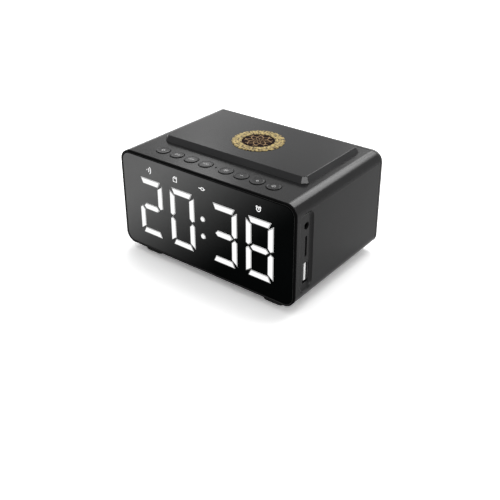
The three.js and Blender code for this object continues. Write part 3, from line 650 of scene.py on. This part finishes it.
def tongue_material():
    """A USB tongue's white end, with its other faces painted grey as a painted shade."""
    material, nodes, shader = new_material("tongue_plastic")
    coordinates = nodes.add("ShaderNodeTexCoord")
    facing = nodes.axes(coordinates.outputs["Normal"])
    end = nodes.math("GREATER_THAN", facing["X"], 0.5)
    grain = nodes.noise(coordinates.outputs["Object"], TONGUE_GRAIN, 2.0)
    # Faces other than the end are painted grey: painted shade
    links = {
        "Base Color": nodes.ramp(end, [(0.0, TONGUE_PAINTED_SHADE), (1.0, TONGUE_WHITE)]),
        "Normal": nodes.bump(0.1, 0.01, Height=grain),
    }
    fill(nodes, shader, links, Roughness=0.4)
    return material


BLACK = (0.009, 0.009, 0.0092)
SATIN_BLACK = (0.015, 0.015, 0.0153)
SATIN = {"grain": 2200, "depth": 0.003, "spread": 0.03}
SMOOTH = {"grain": 1500, "depth": 0.002}

housing_plastic = moulded("housing_plastic", SATIN_BLACK, 0.2, spec=0.116, **SATIN)
cap_plastic = moulded("cap_plastic", BLACK, 0.2, spec=0.135, **SATIN)
bezel_plastic = moulded("bezel_plastic", (0.0037, 0.0037, 0.0038), 0.3, spec=0.0015, **SMOOTH)
# The bezel's lip, painted lighter than the bezel: a painted highlight
bezel_lip_painted_highlight = moulded("bezel_lip_painted_highlight", (0.04, 0.04, 0.04), 0.3, spec=0.02, **SMOOTH)
cover_plastic = moulded("cover_plastic", (0.011, 0.011, 0.0113), 0.4, spec=0.3)
inner_plastic = moulded("inner_plastic", (0.010, 0.010, 0.010), 0.6)
dark_plastic = moulded("dark_plastic", (0.012, 0.012, 0.012), 0.5)
tongue_plastic = tongue_material()
# The pad's slopes: the housing's plastic painted lighter as painted light, and with little gloss
slope_plastic_painted_light = moulded(
    "slope_plastic_painted_light", (0.042, 0.042, 0.0428), 0.45, grain=1500, depth=0.004, spec=0.04
)
rubber = moulded("rubber", (0.012, 0.012, 0.012), 0.75, grain=700, depth=0.03, spec=0.3)
board = moulded("board", (0.02, 0.11, 0.04), 0.45, grain=300)
cone_paper = moulded("cone_paper", (0.02, 0.02, 0.02), 0.85, grain=400, depth=0.05)
cell_wrap = moulded("cell_wrap", (0.05, 0.15, 0.40), 0.35, grain=200)
ferrite = moulded("ferrite", (0.07, 0.07, 0.075), 0.7)
slot_black = moulded("slot_black", (0.0012, 0.0012, 0.0012), 0.6, spec=0.01)
symbol_print = moulded("symbol_print", (0.50, 0.50, 0.50), 0.5, depth=0.002, soften=0.01)
steel = brushed("steel", (0.60, 0.60, 0.62), 0.28)
dark_steel = brushed("dark_steel", (0.10, 0.10, 0.105), 0.38)
# The USB shell's metal is painted dark: a painted shade inside the port
nickel_painted_shade = brushed("nickel_painted_shade", (0.10, 0.10, 0.103), 0.35)
copper = brushed("copper", (0.80, 0.42, 0.25), 0.30)
lens_painted_reflection = lens_material()
digit_light = lit_material("digit_light", 0.99, 0.01)
rim_light = lit_material("rim_light", 0.12)
icon_light = lit_material("icon_light", 1.2)

NODE_MATERIALS = {
    "display_lens": lens_painted_reflection,
    "display_reflector": inner_plastic,
    "display_board": board,
    "main_board": board,
    "key_board": board,
    "inlet_board": board,
    "microphone": slot_black,
    "charging_coil": copper,
    "ferrite_sheet": ferrite,
    "coil_carrier": inner_plastic,
    "usb_shell": nickel_painted_shade,
    "usb_tongue": tongue_plastic,
    "jack_socket": slot_black,
    "card_socket": slot_black,
    "inlet_shell": steel,
    "inlet_tongue": dark_plastic,
    "battery_cell": cell_wrap,
    "battery_cradle": inner_plastic,
}
ENDINGS = {
    "_screw": dark_steel,
    "_frame": dark_plastic,
    "_cone": cone_paper,
    "_magnet": steel,
    "_foot": rubber,
}


def dress_cad_nodes():
    for name, obj in frame["nodes"].items():
        material = NODE_MATERIALS.get(name)
        for ending, choice in ENDINGS.items():
            if name.endswith(ending):
                material = choice
        if name.startswith("tact_switch"):
            material = dark_plastic
        if material is None:
            continue
        for slot in obj.material_slots:
            slot.material = material


# ---- The body's places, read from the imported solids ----

SLEEVE_LOW, SLEEVE_HIGH = node_box("housing_sleeve")
PAD_LOW, PAD_HIGH = node_box("charging_pad")
WIDTH = SLEEVE_HIGH.x - SLEEVE_LOW.x
HEIGHT = SLEEVE_HIGH.z - SLEEVE_LOW.z
FRONT = node_box("front_bezel")[0].y
REAR = node_box("rear_cover")[1].y
LENS_FACE = node_box("display_lens")[0].y
FLOOR = SLEEVE_LOW.z
ROOF = SLEEVE_HIGH.z
SIDE = SLEEVE_HIGH.x
MIDDLE = (0, (FLOOR + ROOF) / 2)
PAD_CENTRE = (0, (PAD_LOW.y + PAD_HIGH.y) / 2)


def node_middle(name):
    low, high = node_box(name)
    return (low + high) / 2


# ---- Housing ----


def recess_cutter():
    """The recess: its floor runs up to the side in a fillet that ends at a small rounded lip."""
    y = FRONT + (RECESS_FRONT + RECESS_REAR) / 2
    z = FLOOR + (RECESS_BOTTOM + RECESS_TOP) / 2
    rise = RECESS_DEPTH - RECESS_LIP
    end = 180 + math.degrees(math.asin(1 - rise / RECESS_FILLET))
    fillet_x = SIDE - RECESS_DEPTH + RECESS_FILLET
    fillet = arc(0, fillet_x, RECESS_FILLET, 270, end, FILLET_STEPS)
    fillet = [(inset - fillet[-1][0], x) for inset, x in fillet]
    lip = []
    for angle in LIP_ANGLES:
        turn = math.radians(angle)
        inset = RECESS_LIP * math.cos(turn) - RECESS_LIP
        lip.append((inset, SIDE - RECESS_LIP + RECESS_LIP * math.sin(turn)))
    path = fillet + lip + [(lip[-1][0], SIDE + CORNER)]
    size = (RECESS_REAR - RECESS_FRONT, RECESS_TOP - RECESS_BOTTOM)
    rings = shell_rings(*size, RECESS_CORNER, path, "x", (y, z))
    return mesh_object("recess_cutter", skin(rings))


def port_cutters():
    jack, card, usb = (node_middle(name) for name in ("jack_socket", "card_socket", "usb_shell"))
    low, high = node_box("usb_shell")
    port_y = jack.y + PORT_SHIFT
    steps = SMALL_CORNER_STEPS
    card_slot = outline(*CARD_SLOT, CARD_CORNER, steps)
    usb_slot = outline(high.y - low.y + USB_SLACK, high.z - low.z + USB_SLACK, USB_SLACK, steps)
    openings = [
        ("jack", circle(JACK_HOLE, JACK_SIDES), (port_y, jack.z)),
        ("card", card_slot, (port_y, card.z)),
        ("usb", usb_slot, (usb.y, usb.z)),
    ]
    return [
        prism(f"{name}_cutter", points, "x", SIDE - 2 * WALL, SIDE + WALL, centre)
        for name, points, centre in openings
    ]


def cap_radius():
    low, high = node_box("button_1")
    return (high.x - low.x) / 2 - CAP_FLANGE_STEP


def roof_cutter(name, points, centre):
    return prism(name, points, "z", ROOF - 2 * WALL, ROOF + WALL, centre)


def button_cutters():
    """The holes of the caps, each with a bevelled edge, and the microphone's in their row."""
    radius = cap_radius() + CAP_GAP
    profile = [
        (0, ROOF - 2 * WALL),
        (radius, ROOF - 2 * WALL),
        (radius, ROOF - CAP_HOLE_EDGE),
        (radius + 2 * CAP_HOLE_EDGE, ROOF + CAP_HOLE_EDGE),
        (0, ROOF + CAP_HOLE_EDGE),
    ]
    cutters = []
    for index in range(1, BUTTON_COUNT + 1):
        centre = node_middle(f"button_{index}")
        cutter = turned(f"button_cutter_{index}", profile)
        cutter.location = (centre.x, centre.y, 0)
        cutters.append(cutter)
    hole = (0, node_middle("button_1").y)
    return cutters + [roof_cutter("microphone_cutter", circle(MICROPHONE_HOLE), hole)]


def window_cutter():
    """The opening under the charging pad, where its coil sits."""
    width = PAD_HIGH.x - PAD_LOW.x - 2 * WINDOW_MARGIN
    depth = PAD_HIGH.y - PAD_LOW.y - 2 * WINDOW_MARGIN
    points = outline(width, depth, WINDOW_CORNER, SMALL_CORNER_STEPS)
    return roof_cutter("window_cutter", points, PAD_CENTRE)


def housing():
    front, rear = SLEEVE_LOW.y, SLEEVE_HIGH.y
    path = arc(EDGE, front + EDGE, EDGE, 270, 180) + arc(EDGE, rear - EDGE, EDGE, 180, 90)
    path += [(WALL, rear), (WALL, front)]
    rings = shell_rings(WIDTH, HEIGHT, CORNER, path, "y", MIDDLE)
    sleeve = mesh_object("housing", skin(rings, cyclic=True))
    cut(sleeve, [recess_cutter(), window_cutter(), *port_cutters(), *button_cutters()])
    weighted(sleeve)
    dress(sleeve, housing_plastic, "clock", "housing_sleeve")


# ---- Front bezel ----


def bezel():
    """The ring round the panel; its inner edge is painted lighter than its face, a painted
    highlight.
    """
    back, seat = FRONT + BEZEL_DEPTH, FRONT + LENS_REBATE
    edge = arc(BEZEL_EDGE, FRONT + BEZEL_EDGE, BEZEL_EDGE, 270, 180)
    outer = [(0, back)] + edge[::-1]
    lip = arc(RIM - LIP_EDGE, FRONT + LIP_EDGE, LIP_EDGE, 270, 360)
    inner = [(RIM, seat), (BEZEL_INNER, seat), (BEZEL_INNER, back)]
    rings = shell_rings(WIDTH, HEIGHT, CORNER, outer + lip + inner, "y", MIDDLE)
    ring = mesh_object("bezel", skin(rings, cyclic=True))
    weighted(ring)
    dress(ring, bezel_plastic, "clock", "front_bezel")
    ring.data.materials.append(bezel_lip_painted_highlight)
    sides = len(rings[0])
    for index in range(len(outer) * sides, (len(outer) + len(lip) - 1) * sides):
        ring.data.polygons[index].material_index = 1


# ---- Lit digits ----


def digit_segments():
    """The light guides, each with a dim rim round its bright face."""
    bm = bmesh.new()
    bm.from_mesh(frame["nodes"]["lit_segments"].data)
    bmesh.ops.remove_doubles(bm, verts=bm.verts, dist=MERGE_DISTANCE)
    shown = [
        face
        for face in bm.faces
        if all(abs(vert.co.y - LENS_FACE) < FACE_TOLERANCE for vert in face.verts)
    ]
    rim = bmesh.ops.inset_region(bm, faces=shown, thickness=SEGMENT_RIM, use_even_offset=True)
    bm.faces.index_update()
    rim_faces = [face.index for face in rim["faces"]]
    mesh = bpy.data.meshes.new("digits")
    bm.to_mesh(mesh)
    bm.free()
    digits = bpy.data.objects.new("digits", mesh)
    COLLECTION.objects.link(digits)
    dress(digits, digit_light, "clock", "lit_segments")
    digits.data.materials.append(rim_light)
    for index in rim_faces:
        digits.data.polygons[index].material_index = 1


# ---- Display icons: plain pictures of sound, memory card, plug and alarm ----


def stroke_sides(points, width, closed):
    """Both sides of a flat stroke of even width along a line of points."""
    count = len(points)
    left, right = [], []
    for i, (x, y) in enumerate(points):
        before = points[(i - 1) % count] if closed or i > 0 else points[i]
        after = points[(i + 1) % count] if closed or i < count - 1 else points[i]
        dx, dy = after[0] - before[0], after[1] - before[1]
        length = math.hypot(dx, dy) or 1.0
        nx, ny = -dy / length * width / 2, dx / length * width / 2
        left.append((x + nx, y + ny))
        right.append((x - nx, y - ny))
    return left, right


def flat_strokes(name, strokes, width, to_space, lift):
    """Thin strokes raised by a lift; each is (points, closed), and to_space places a point."""
    bm = bmesh.new()
    for points, closed in strokes:
        left, right = stroke_sides(points, width, closed)
        count = len(points)
        grid = [
            [bm.verts.new(to_space(*point) + level) for point in side]
            for side in (left, right)
            for level in (Vector((0, 0, 0)), lift)
        ]
        low_left, high_left, low_right, high_right = grid
        spans = count if closed else count - 1
        for i in range(spans):
            j = (i + 1) % count
            bm.faces.new((high_left[i], high_left[j], high_right[j], high_right[i]))
            bm.faces.new((low_left[i], low_right[i], low_right[j], low_left[j]))
            bm.faces.new((low_left[i], low_left[j], high_left[j], high_left[i]))
            bm.faces.new((low_right[i], high_right[i], high_right[j], low_right[j]))
        if not closed:
            for i in (0, count - 1):
                bm.faces.new((low_left[i], high_left[i], high_right[i], low_right[i]))
    return mesh_object(name, bm)


def ring_points(cx, cy, radius, start=0, end=360, steps=24):
    """An arc's points; a whole circle doesn't repeat its first."""
    points = arc(cx, cy, radius, start, end, steps)
    return points[:-1] if end - start >= 360 else points


def line(*points):
    return (list(points), False)


def loop(*points):
    return (list(points), True)


def icon_strokes(kind):
    """Strokes of one picture, in shares of its height about its middle."""
    if kind == "waves":
        arcs = [line(*ring_points(-0.5, 0, radius, -46, 46, 10)) for radius in (0.52, 0.98)]
        return arcs + [line((-0.6, 0), (-0.38, 0))]
    if kind == "card":
        body = loop((-0.42, -0.5), (0.42, -0.5), (0.42, 0.5), (-0.12, 0.5), (-0.42, 0.2))
        return [body, line((0.0, 0.12), (0.0, 0.32)), line((0.22, 0.12), (0.22, 0.32))]
    if kind == "plug":
        sleeve = loop((-0.1, -0.24), (0.45, -0.24), (0.45, 0.24), (-0.1, 0.24))
        return [line((-0.7, 0), (-0.1, 0)), sleeve, line((0.45, 0), (0.8, 0))]
    bells = [line((-0.55, 0.28), (-0.28, 0.55)), line((0.28, 0.55), (0.55, 0.28))]
    hands = line((0, 0.2), (0, -0.06), (0.18, -0.06))
    return [loop(*ring_points(0, -0.06, 0.42))] + bells + [hands]


def display_icons():
    size, lift = ICON_HEIGHT, Vector((0, -ICON_DEPTH, 0))
    for kind, x in ICON_PLACES.items():
        def to_space(u, v, x=x):
            return Vector((x + u * size, LENS_FACE, FLOOR + ICON_RISE + v * size))

        icon = flat_strokes(f"display_{kind}", icon_strokes(kind), ICON_STROKE, to_space, lift)
        dress(icon, icon_light, "clock")


# ---- Buttons ----


def triangle(tip, base, reach=0.42):
    """An outline that points from its base to its tip."""
    return loop((base, -reach), (tip, 0), (base, reach))


def bar(u, reach):
    return line((u, -reach), (u, reach))


def dash(centre, reach):
    return line((centre - reach, 0), (centre + reach, 0))


def rays(inner, outer, count=8):
    return [line(*ends) for ends in zip(circle(inner, count), circle(outer, count))]


def symbol_strokes(index):
    """Plain key symbols: power, play and pause, back, on, light, minus, plus and alarm."""
    return {
        1: [line(*ring_points(0, 0, 0.42, 125, 415, 20)), line((0, 0.08), (0, 0.5))],
        2: [triangle(0.2, -0.45), bar(0.45, 0.36), bar(0.75, 0.36)],
        3: [triangle(-0.95, -0.35), triangle(-0.25, 0.3), dash(0.75, 0.26)],
        4: [dash(-0.75, 0.26), triangle(0.25, -0.3), triangle(0.95, 0.35), bar(-0.75, 0.26)],
        5: [loop(*ring_points(0, 0, 0.24))] + rays(0.42, 0.62),
        6: [dash(0, 0.5)],
        7: [dash(0, 0.45), bar(0, 0.45)],
        8: [
            loop((-0.55, -0.3), (-0.3, 0.4), (0.3, 0.4), (0.55, -0.3)),
            line((-0.14, -0.5), (0.14, -0.5)),
        ],
    }[index]


def cap_profile(bottom, flange):
    """Half a cap: stem, flange, rounded edge and a top that falls smoothly to a flat dish."""
    radius = cap_radius()
    top = ROOF + CAP_PROUD
    flange_top = ROOF - WALL - CAP_GAP
    flange_bottom = flange_top - CAP_FLANGE
    profile = [(0, bottom), (CAP_STEM, bottom), (CAP_STEM, flange_bottom)]
    profile += [(flange, flange_bottom), (flange, flange_top), (radius, flange_top)]
    profile += arc(radius - CAP_ROUND, top - CAP_ROUND, CAP_ROUND, 0, 90)
    slope_start = radius - 2 * CAP_ROUND
    for step in range(1, CAP_DISH_STEPS + 1):
        share = step / CAP_DISH_STEPS
        reach = slope_start + (CAP_DISH_FLAT - slope_start) * share
        fall = CAP_DISH * (3 * share ** 2 - 2 * share ** 3)
        profile.append((reach, top - fall))
    return profile + [(0, top - CAP_DISH)]


def button(index):
    centre = node_middle(f"button_{index}")
    low, high = node_box(f"button_{index}")
    cap = turned(f"button_cap_{index}", cap_profile(low.z, (high.x - low.x) / 2))
    cap.location = (centre.x, centre.y, 0)
    weighted(cap)
    dress(cap, cap_plastic, f"key_{index}", f"button_{index}")
    size, level = SYMBOL_SIZE, ROOF + CAP_PROUD - CAP_DISH

    def to_space(u, v):
        return Vector((centre.x + u * size, centre.y + v * size, level))

    strokes, lift = symbol_strokes(index), Vector((0, 0, SYMBOL_LIFT))
    symbol = flat_strokes(f"button_symbol_{index}", strokes, SYMBOL_STROKE, to_space, lift)
    dress(symbol, symbol_print, f"key_{index}")


# ---- Charging pad and ornament ----


def pad_path():
    """The pad's side: a short upright, the slope and the rounding into its top."""
    slope = math.atan2(PAD_HEIGHT, PAD_SLOPE)
    inset = PAD_SLOPE + PAD_ROUND * math.tan(slope / 2)
    level = ROOF + PAD_HEIGHT - PAD_ROUND
    rounding = arc(inset, level, PAD_ROUND, 90 + math.degrees(slope), 90, PAD_ROUND_STEPS)
    return [(0, ROOF - SEAM), (0, ROOF)] + rounding


def on_slope(normal):
    """True on the four flat slopes, and not on the top or the corners' bevels."""
    return normal.z < TOP_NORMAL and max(abs(normal.x), abs(normal.y)) > SIDE_NORMAL


def charging_pad():
    width = PAD_HIGH.x - PAD_LOW.x
    depth = PAD_HIGH.y - PAD_LOW.y
    rings = []
    for inset, level in pad_path():
        front = PAD_BEVEL - PAD_TAPER * inset
        rear = PAD_REAR_BEVEL - PAD_REAR_TAPER * inset
        bevels = [(rear, PAD_REAR_BLEND * rear)] * 2 + [(front, PAD_BLEND * front)] * 2
        points = bevelled(width - 2 * inset, depth - 2 * inset, bevels)
        rings.append(place(points, "z", level, PAD_CENTRE))
    pad = mesh_object("pad", skin(rings))
    weighted(pad)
    dress(pad, housing_plastic, "clock", "charging_pad")
    # The slopes take the lighter copy of the plastic: painted light
    pad.data.materials.append(slope_plastic_painted_light)
    for face in pad.data.polygons:
        if on_slope(face.normal):
            face.material_index = 1


def lobed(radius):
    """A circle scalloped all round, whose lobes reach the radius."""
    points = []
    count = ORNAMENT_LOBES * LOBE_STEPS
    for i in range(count):
        angle = 2 * math.pi * i / count
        lobe = abs(math.sin(ORNAMENT_LOBES * angle / 2))
        reach = radius - LOBE_DEPTH * (1 - lobe)
        points.append((reach * math.cos(angle), reach * math.sin(angle)))
    return points


def gold_ring(centre, radius, base, top):
    """A low scalloped ring with both top edges bevelled; returns its mesh object."""
    sides, edge = ORNAMENT_LOBES * LOBE_STEPS, ORNAMENT_EDGE
    rings = [
        (lobed(radius), base),
        (lobed(radius), top - edge),
        (lobed(radius - edge), top),
        (circle(ORNAMENT_HOLE + edge, sides), top),
        (circle(ORNAMENT_HOLE, sides), top - edge),
        (circle(ORNAMENT_HOLE, sides), base),
    ]
    placed = [place(points, "z", level, (centre.x, centre.y)) for points, level in rings]
    return mesh_object("gold_ring", skin(placed, cyclic=True))


def ornament():
    low, high = node_box("ornament_ring")
    base, top = low.z, high.z
    disc_low, disc_high = node_box("ornament_centre")
    centre = node_middle("ornament_centre")
    ring = gold_ring(centre, (high.x - low.x) / 2 - ORNAMENT_TRIM, base, top)
    dress(ring, gold_material(centre), "clock", "ornament_ring")
    radius = (disc_high.x - disc_low.x) / 2
    edge = [(radius, base), (radius, top - ORNAMENT_EDGE), (radius - ORNAMENT_EDGE, top)]
    disc = turned("ornament_disc", [(0, base)] + edge + [(0, top)])
    disc.location = (centre.x, centre.y, 0)
    dress(disc, ornament_material(Vector((0, 0, 0))), "clock", "ornament_centre")


# ---- Rear cover ----


def cover_cutter(name, points, centre, depth=2 * REAR_PLATE):
    return prism(name, points, "y", REAR - depth, REAR + CUT_REACH, centre)


def grille_cutters():
    """Holes in rings over each speaker, six more in each ring than in the one inside it."""
    hole = circle(GRILLE_HOLE, GRILLE_SIDES)
    cutters = []
    for side in ("left", "right"):
        middle = node_middle(f"{side}_speaker_frame")
        places = [(0, 0)]
        for ring in range(1, GRILLE_RINGS + 1):
            places += circle(ring * GRILLE_PITCH, 6 * ring)
        for number, (u, v) in enumerate(places):
            centre = (middle.x + u, middle.z + v)
            cutters.append(cover_cutter(f"grille_{side}_{number}", hole, centre))
    return cutters


def rear_cover():
    front = REAR - REAR_PLATE
    path = arc(EDGE, front + EDGE, EDGE, 270, 180)
    path += arc(BEZEL_EDGE, REAR - BEZEL_EDGE, BEZEL_EDGE, 180, 90)
    rings = shell_rings(WIDTH, HEIGHT, CORNER, path, "y", MIDDLE)
    cover = mesh_object("cover", skin(rings))
    slot = outline(*INLET_SLOT, INLET_SLOT[1] / 2, FILLET_STEPS)
    cutters = grille_cutters() + [cover_cutter("inlet_cutter", slot, (0, FLOOR + INLET_Z))]
    well = circle(SCREW_HEAD, WELL_SIDES)
    for name in ("lower_left", "lower_right", "upper_left", "upper_right"):
        middle = node_middle(f"{name}_screw")
        centre = (middle.x, middle.z)
        cutters.append(cover_cutter(f"{name}_well", well, centre, SCREW_HEAD_DEPTH))
    cut(cover, cutters)
    weighted(cover)
    dress(cover, cover_plastic, "clock", "rear_cover")


# ---- Feet ----


def feet():
    for name in ("front_left", "front_right", "rear_left", "rear_right"):
        low, high = node_box(f"{name}_foot")
        middle = node_middle(f"{name}_foot")
        path = arc(FOOT_EDGE, low.z + FOOT_EDGE, FOOT_EDGE, 270, 180) + [(0, FLOOR)]
        size = (high.x - low.x, high.y - low.y)
        rings = shell_rings(*size, FOOT_CORNER, path, "z", (middle.x, middle.y))
        block = mesh_object(f"{name}_rubber", skin(rings))
        weighted(block)
        dress(block, rubber, "clock", f"{name}_foot")


# ---- USB contacts ----


def usb_contacts():
    low, high = node_box("usb_tongue")
    face = node_box("usb_shell")[1].y - SHELL_WALL - TONGUE_GAP - TONGUE_THICKNESS
    x = high.x - CONTACT_INSET - CONTACT_SIZE[0] / 2
    points = outline(*CONTACT_SIZE, CONTACT_CORNER, CONTACT_STEPS)
    for number in range(CONTACT_COUNT):
        z = (low.z + high.z) / 2 + (number - (CONTACT_COUNT - 1) / 2) * CONTACT_PITCH
        name = f"usb_contact_{number + 1}"
        strip = prism(name, points, "y", face - CONTACT_THICKNESS, face, (x, z))
        dress(strip, copper, "clock")


# ---- Studio ----

# The camera solved from the photograph; angles in degrees, lens and sensor in millimetres
CAMERA_PLACE = (260.91 * MM, -336.24 * MM, 249.87 * MM)
CAMERA_TURN = 37.507
CAMERA_TILT = 26.071
CAMERA_NEAR = 10.0 * MM
FOCAL_LENGTH = 54.60
SENSOR_WIDTH = 36
SHIFT = (-0.0093, -0.1189)


def camera():
    data = bpy.data.cameras.new("camera")
    data.lens = FOCAL_LENGTH
    data.sensor_width = SENSOR_WIDTH
    data.shift_x, data.shift_y = SHIFT
    data.clip_start = CAMERA_NEAR
    obj = bpy.data.objects.new("camera", data)
    obj.location = CAMERA_PLACE
    obj.rotation_euler = (math.radians(90 - CAMERA_TILT), 0, math.radians(CAMERA_TURN))
    COLLECTION.objects.link(obj)
    bpy.context.scene.camera = obj


def seen_rays(nodes):
    """1 for the rays that show the white background: camera, glossy and transmission rays."""
    path = nodes.add("ShaderNodeLightPath")
    seen = nodes.math("MAXIMUM", path.outputs["Is Camera Ray"], path.outputs["Is Glossy Ray"])
    return nodes.math("MAXIMUM", seen, path.outputs["Is Transmission Ray"])


# The floor's colour as a lit surface and as the camera sees it, and its glow where it shows
FLOOR_SIZE = 6.0
FLOOR_COLOR = 0.9
FLOOR_SEEN = 1.55
FLOOR_GLOW = 0.1


def floor_material():
    material = bpy.data.materials.new("studio_floor")
    material.use_nodes = True
    nodes = Nodes(material.node_tree)
    paint = nodes.add("ShaderNodeBsdfDiffuse")
    camera_ray = nodes.add("ShaderNodeLightPath").outputs["Is Camera Ray"]
    shade = nodes.math("MULTIPLY_ADD", camera_ray, FLOOR_SEEN - FLOOR_COLOR, FLOOR_COLOR)
    nodes.link(shade, paint.inputs["Color"])
    glow = nodes.add("ShaderNodeEmission")
    nodes.link(nodes.math("MULTIPLY", seen_rays(nodes), FLOOR_GLOW), glow.inputs["Strength"])
    both = nodes.add("ShaderNodeAddShader")
    nodes.link(paint.outputs[0], both.inputs[0])
    nodes.link(glow.outputs[0], both.inputs[1])
    output = nodes.add("ShaderNodeOutputMaterial")
    nodes.link(both.outputs[0], output.inputs["Surface"])
    return material


def studio_floor():
    half = FLOOR_SIZE / 2
    points = [(-half, -half), (half, -half), (half, half), (-half, half)]
    bm = bmesh.new()
    bm.faces.new([bm.verts.new((x, y, 0)) for x, y in points])
    floor = mesh_object("floor", bm)
    floor.data.materials.append(floor_material())


SKY_LEVEL = 0.6


def world():
    """A white sky, dimmer as a light than where it is seen."""
    scene_world = bpy.data.worlds.new("studio")
    bpy.context.scene.world = scene_world
    scene_world.use_nodes = True
    nodes = Nodes(scene_world.node_tree)
    level = nodes.math("MULTIPLY_ADD", seen_rays(nodes), 1 - SKY_LEVEL, SKY_LEVEL)
    background = nodes.add("ShaderNodeBackground", {"Strength": level}, Color=(1, 1, 1, 1))
    output = nodes.add("ShaderNodeOutputWorld")
    nodes.link(background.outputs[0], output.inputs["Surface"])


# Lamps: azimuth from +Y towards -X, elevation, distance, size and level against white. The
# first two light every surface, and the others show only in gloss
LAMP_AIM = (0, 0, 40 * MM)
LAMPS = {
    "overhead": (10, 66, 1.5, (2.0, 0.9), 2.8),
    "right_fill": (-105, 14, 1.5, (1.0, 0.7), 2.0),
    "rear_softbox": (-7, 43, 1.4, (1.05, 0.38), 8.8),
    "rear_glow": (-2, 41, 1.4, (1.2, 0.6), 2.6),
    "rear_wing": (20, 30, 1.4, (0.3, 0.26), 4.5),
    "left_strip": (43.8, 29.0, 1.4, (0.16, 0.16), 4.6),
    "left_glow": (40, 18.5, 1.4, (0.24, 0.2), 0.7),
    "left_low": (50, 9, 1.4, (0.35, 0.35), 1.6),
    "corner_spark": (-127, 26, 1.4, (0.5, 0.5), 18.0),
}
FULL_LAMPS = ("overhead", "right_fill")


def lamp(name, azimuth, elevation, distance, size, level):
    """A soft oval lamp aimed at the clock."""
    turn, lift = math.radians(azimuth), math.radians(elevation)
    across = math.cos(lift)
    towards = Vector((-math.sin(turn) * across, math.cos(turn) * across, math.sin(lift)))
    data = bpy.data.lights.new(name, "AREA")
    data.shape = "ELLIPSE"
    data.size, data.size_y = size
    area = math.pi / 4 * size[0] * size[1]
    data.energy = level * math.pi * area
    obj = bpy.data.objects.new(name, data)
    obj.location = Vector(LAMP_AIM) + towards * distance
    obj.rotation_euler = (-towards).to_track_quat("-Z", "Y").to_euler()
    obj.visible_diffuse = name in FULL_LAMPS
    obj.visible_camera = False
    COLLECTION.objects.link(obj)


def main():
    bpy.context.scene.view_settings.view_transform = "Standard"
    camera()
    world()
    for name, values in LAMPS.items():
        lamp(name, *values)
    studio_floor()
    dress_cad_nodes()
    housing()
    bezel()
    digit_segments()
    display_icons()
    for index in range(1, BUTTON_COUNT + 1):
        button(index)
    charging_pad()
    ornament()
    rear_cover()
    feet()
    usb_contacts()


main()
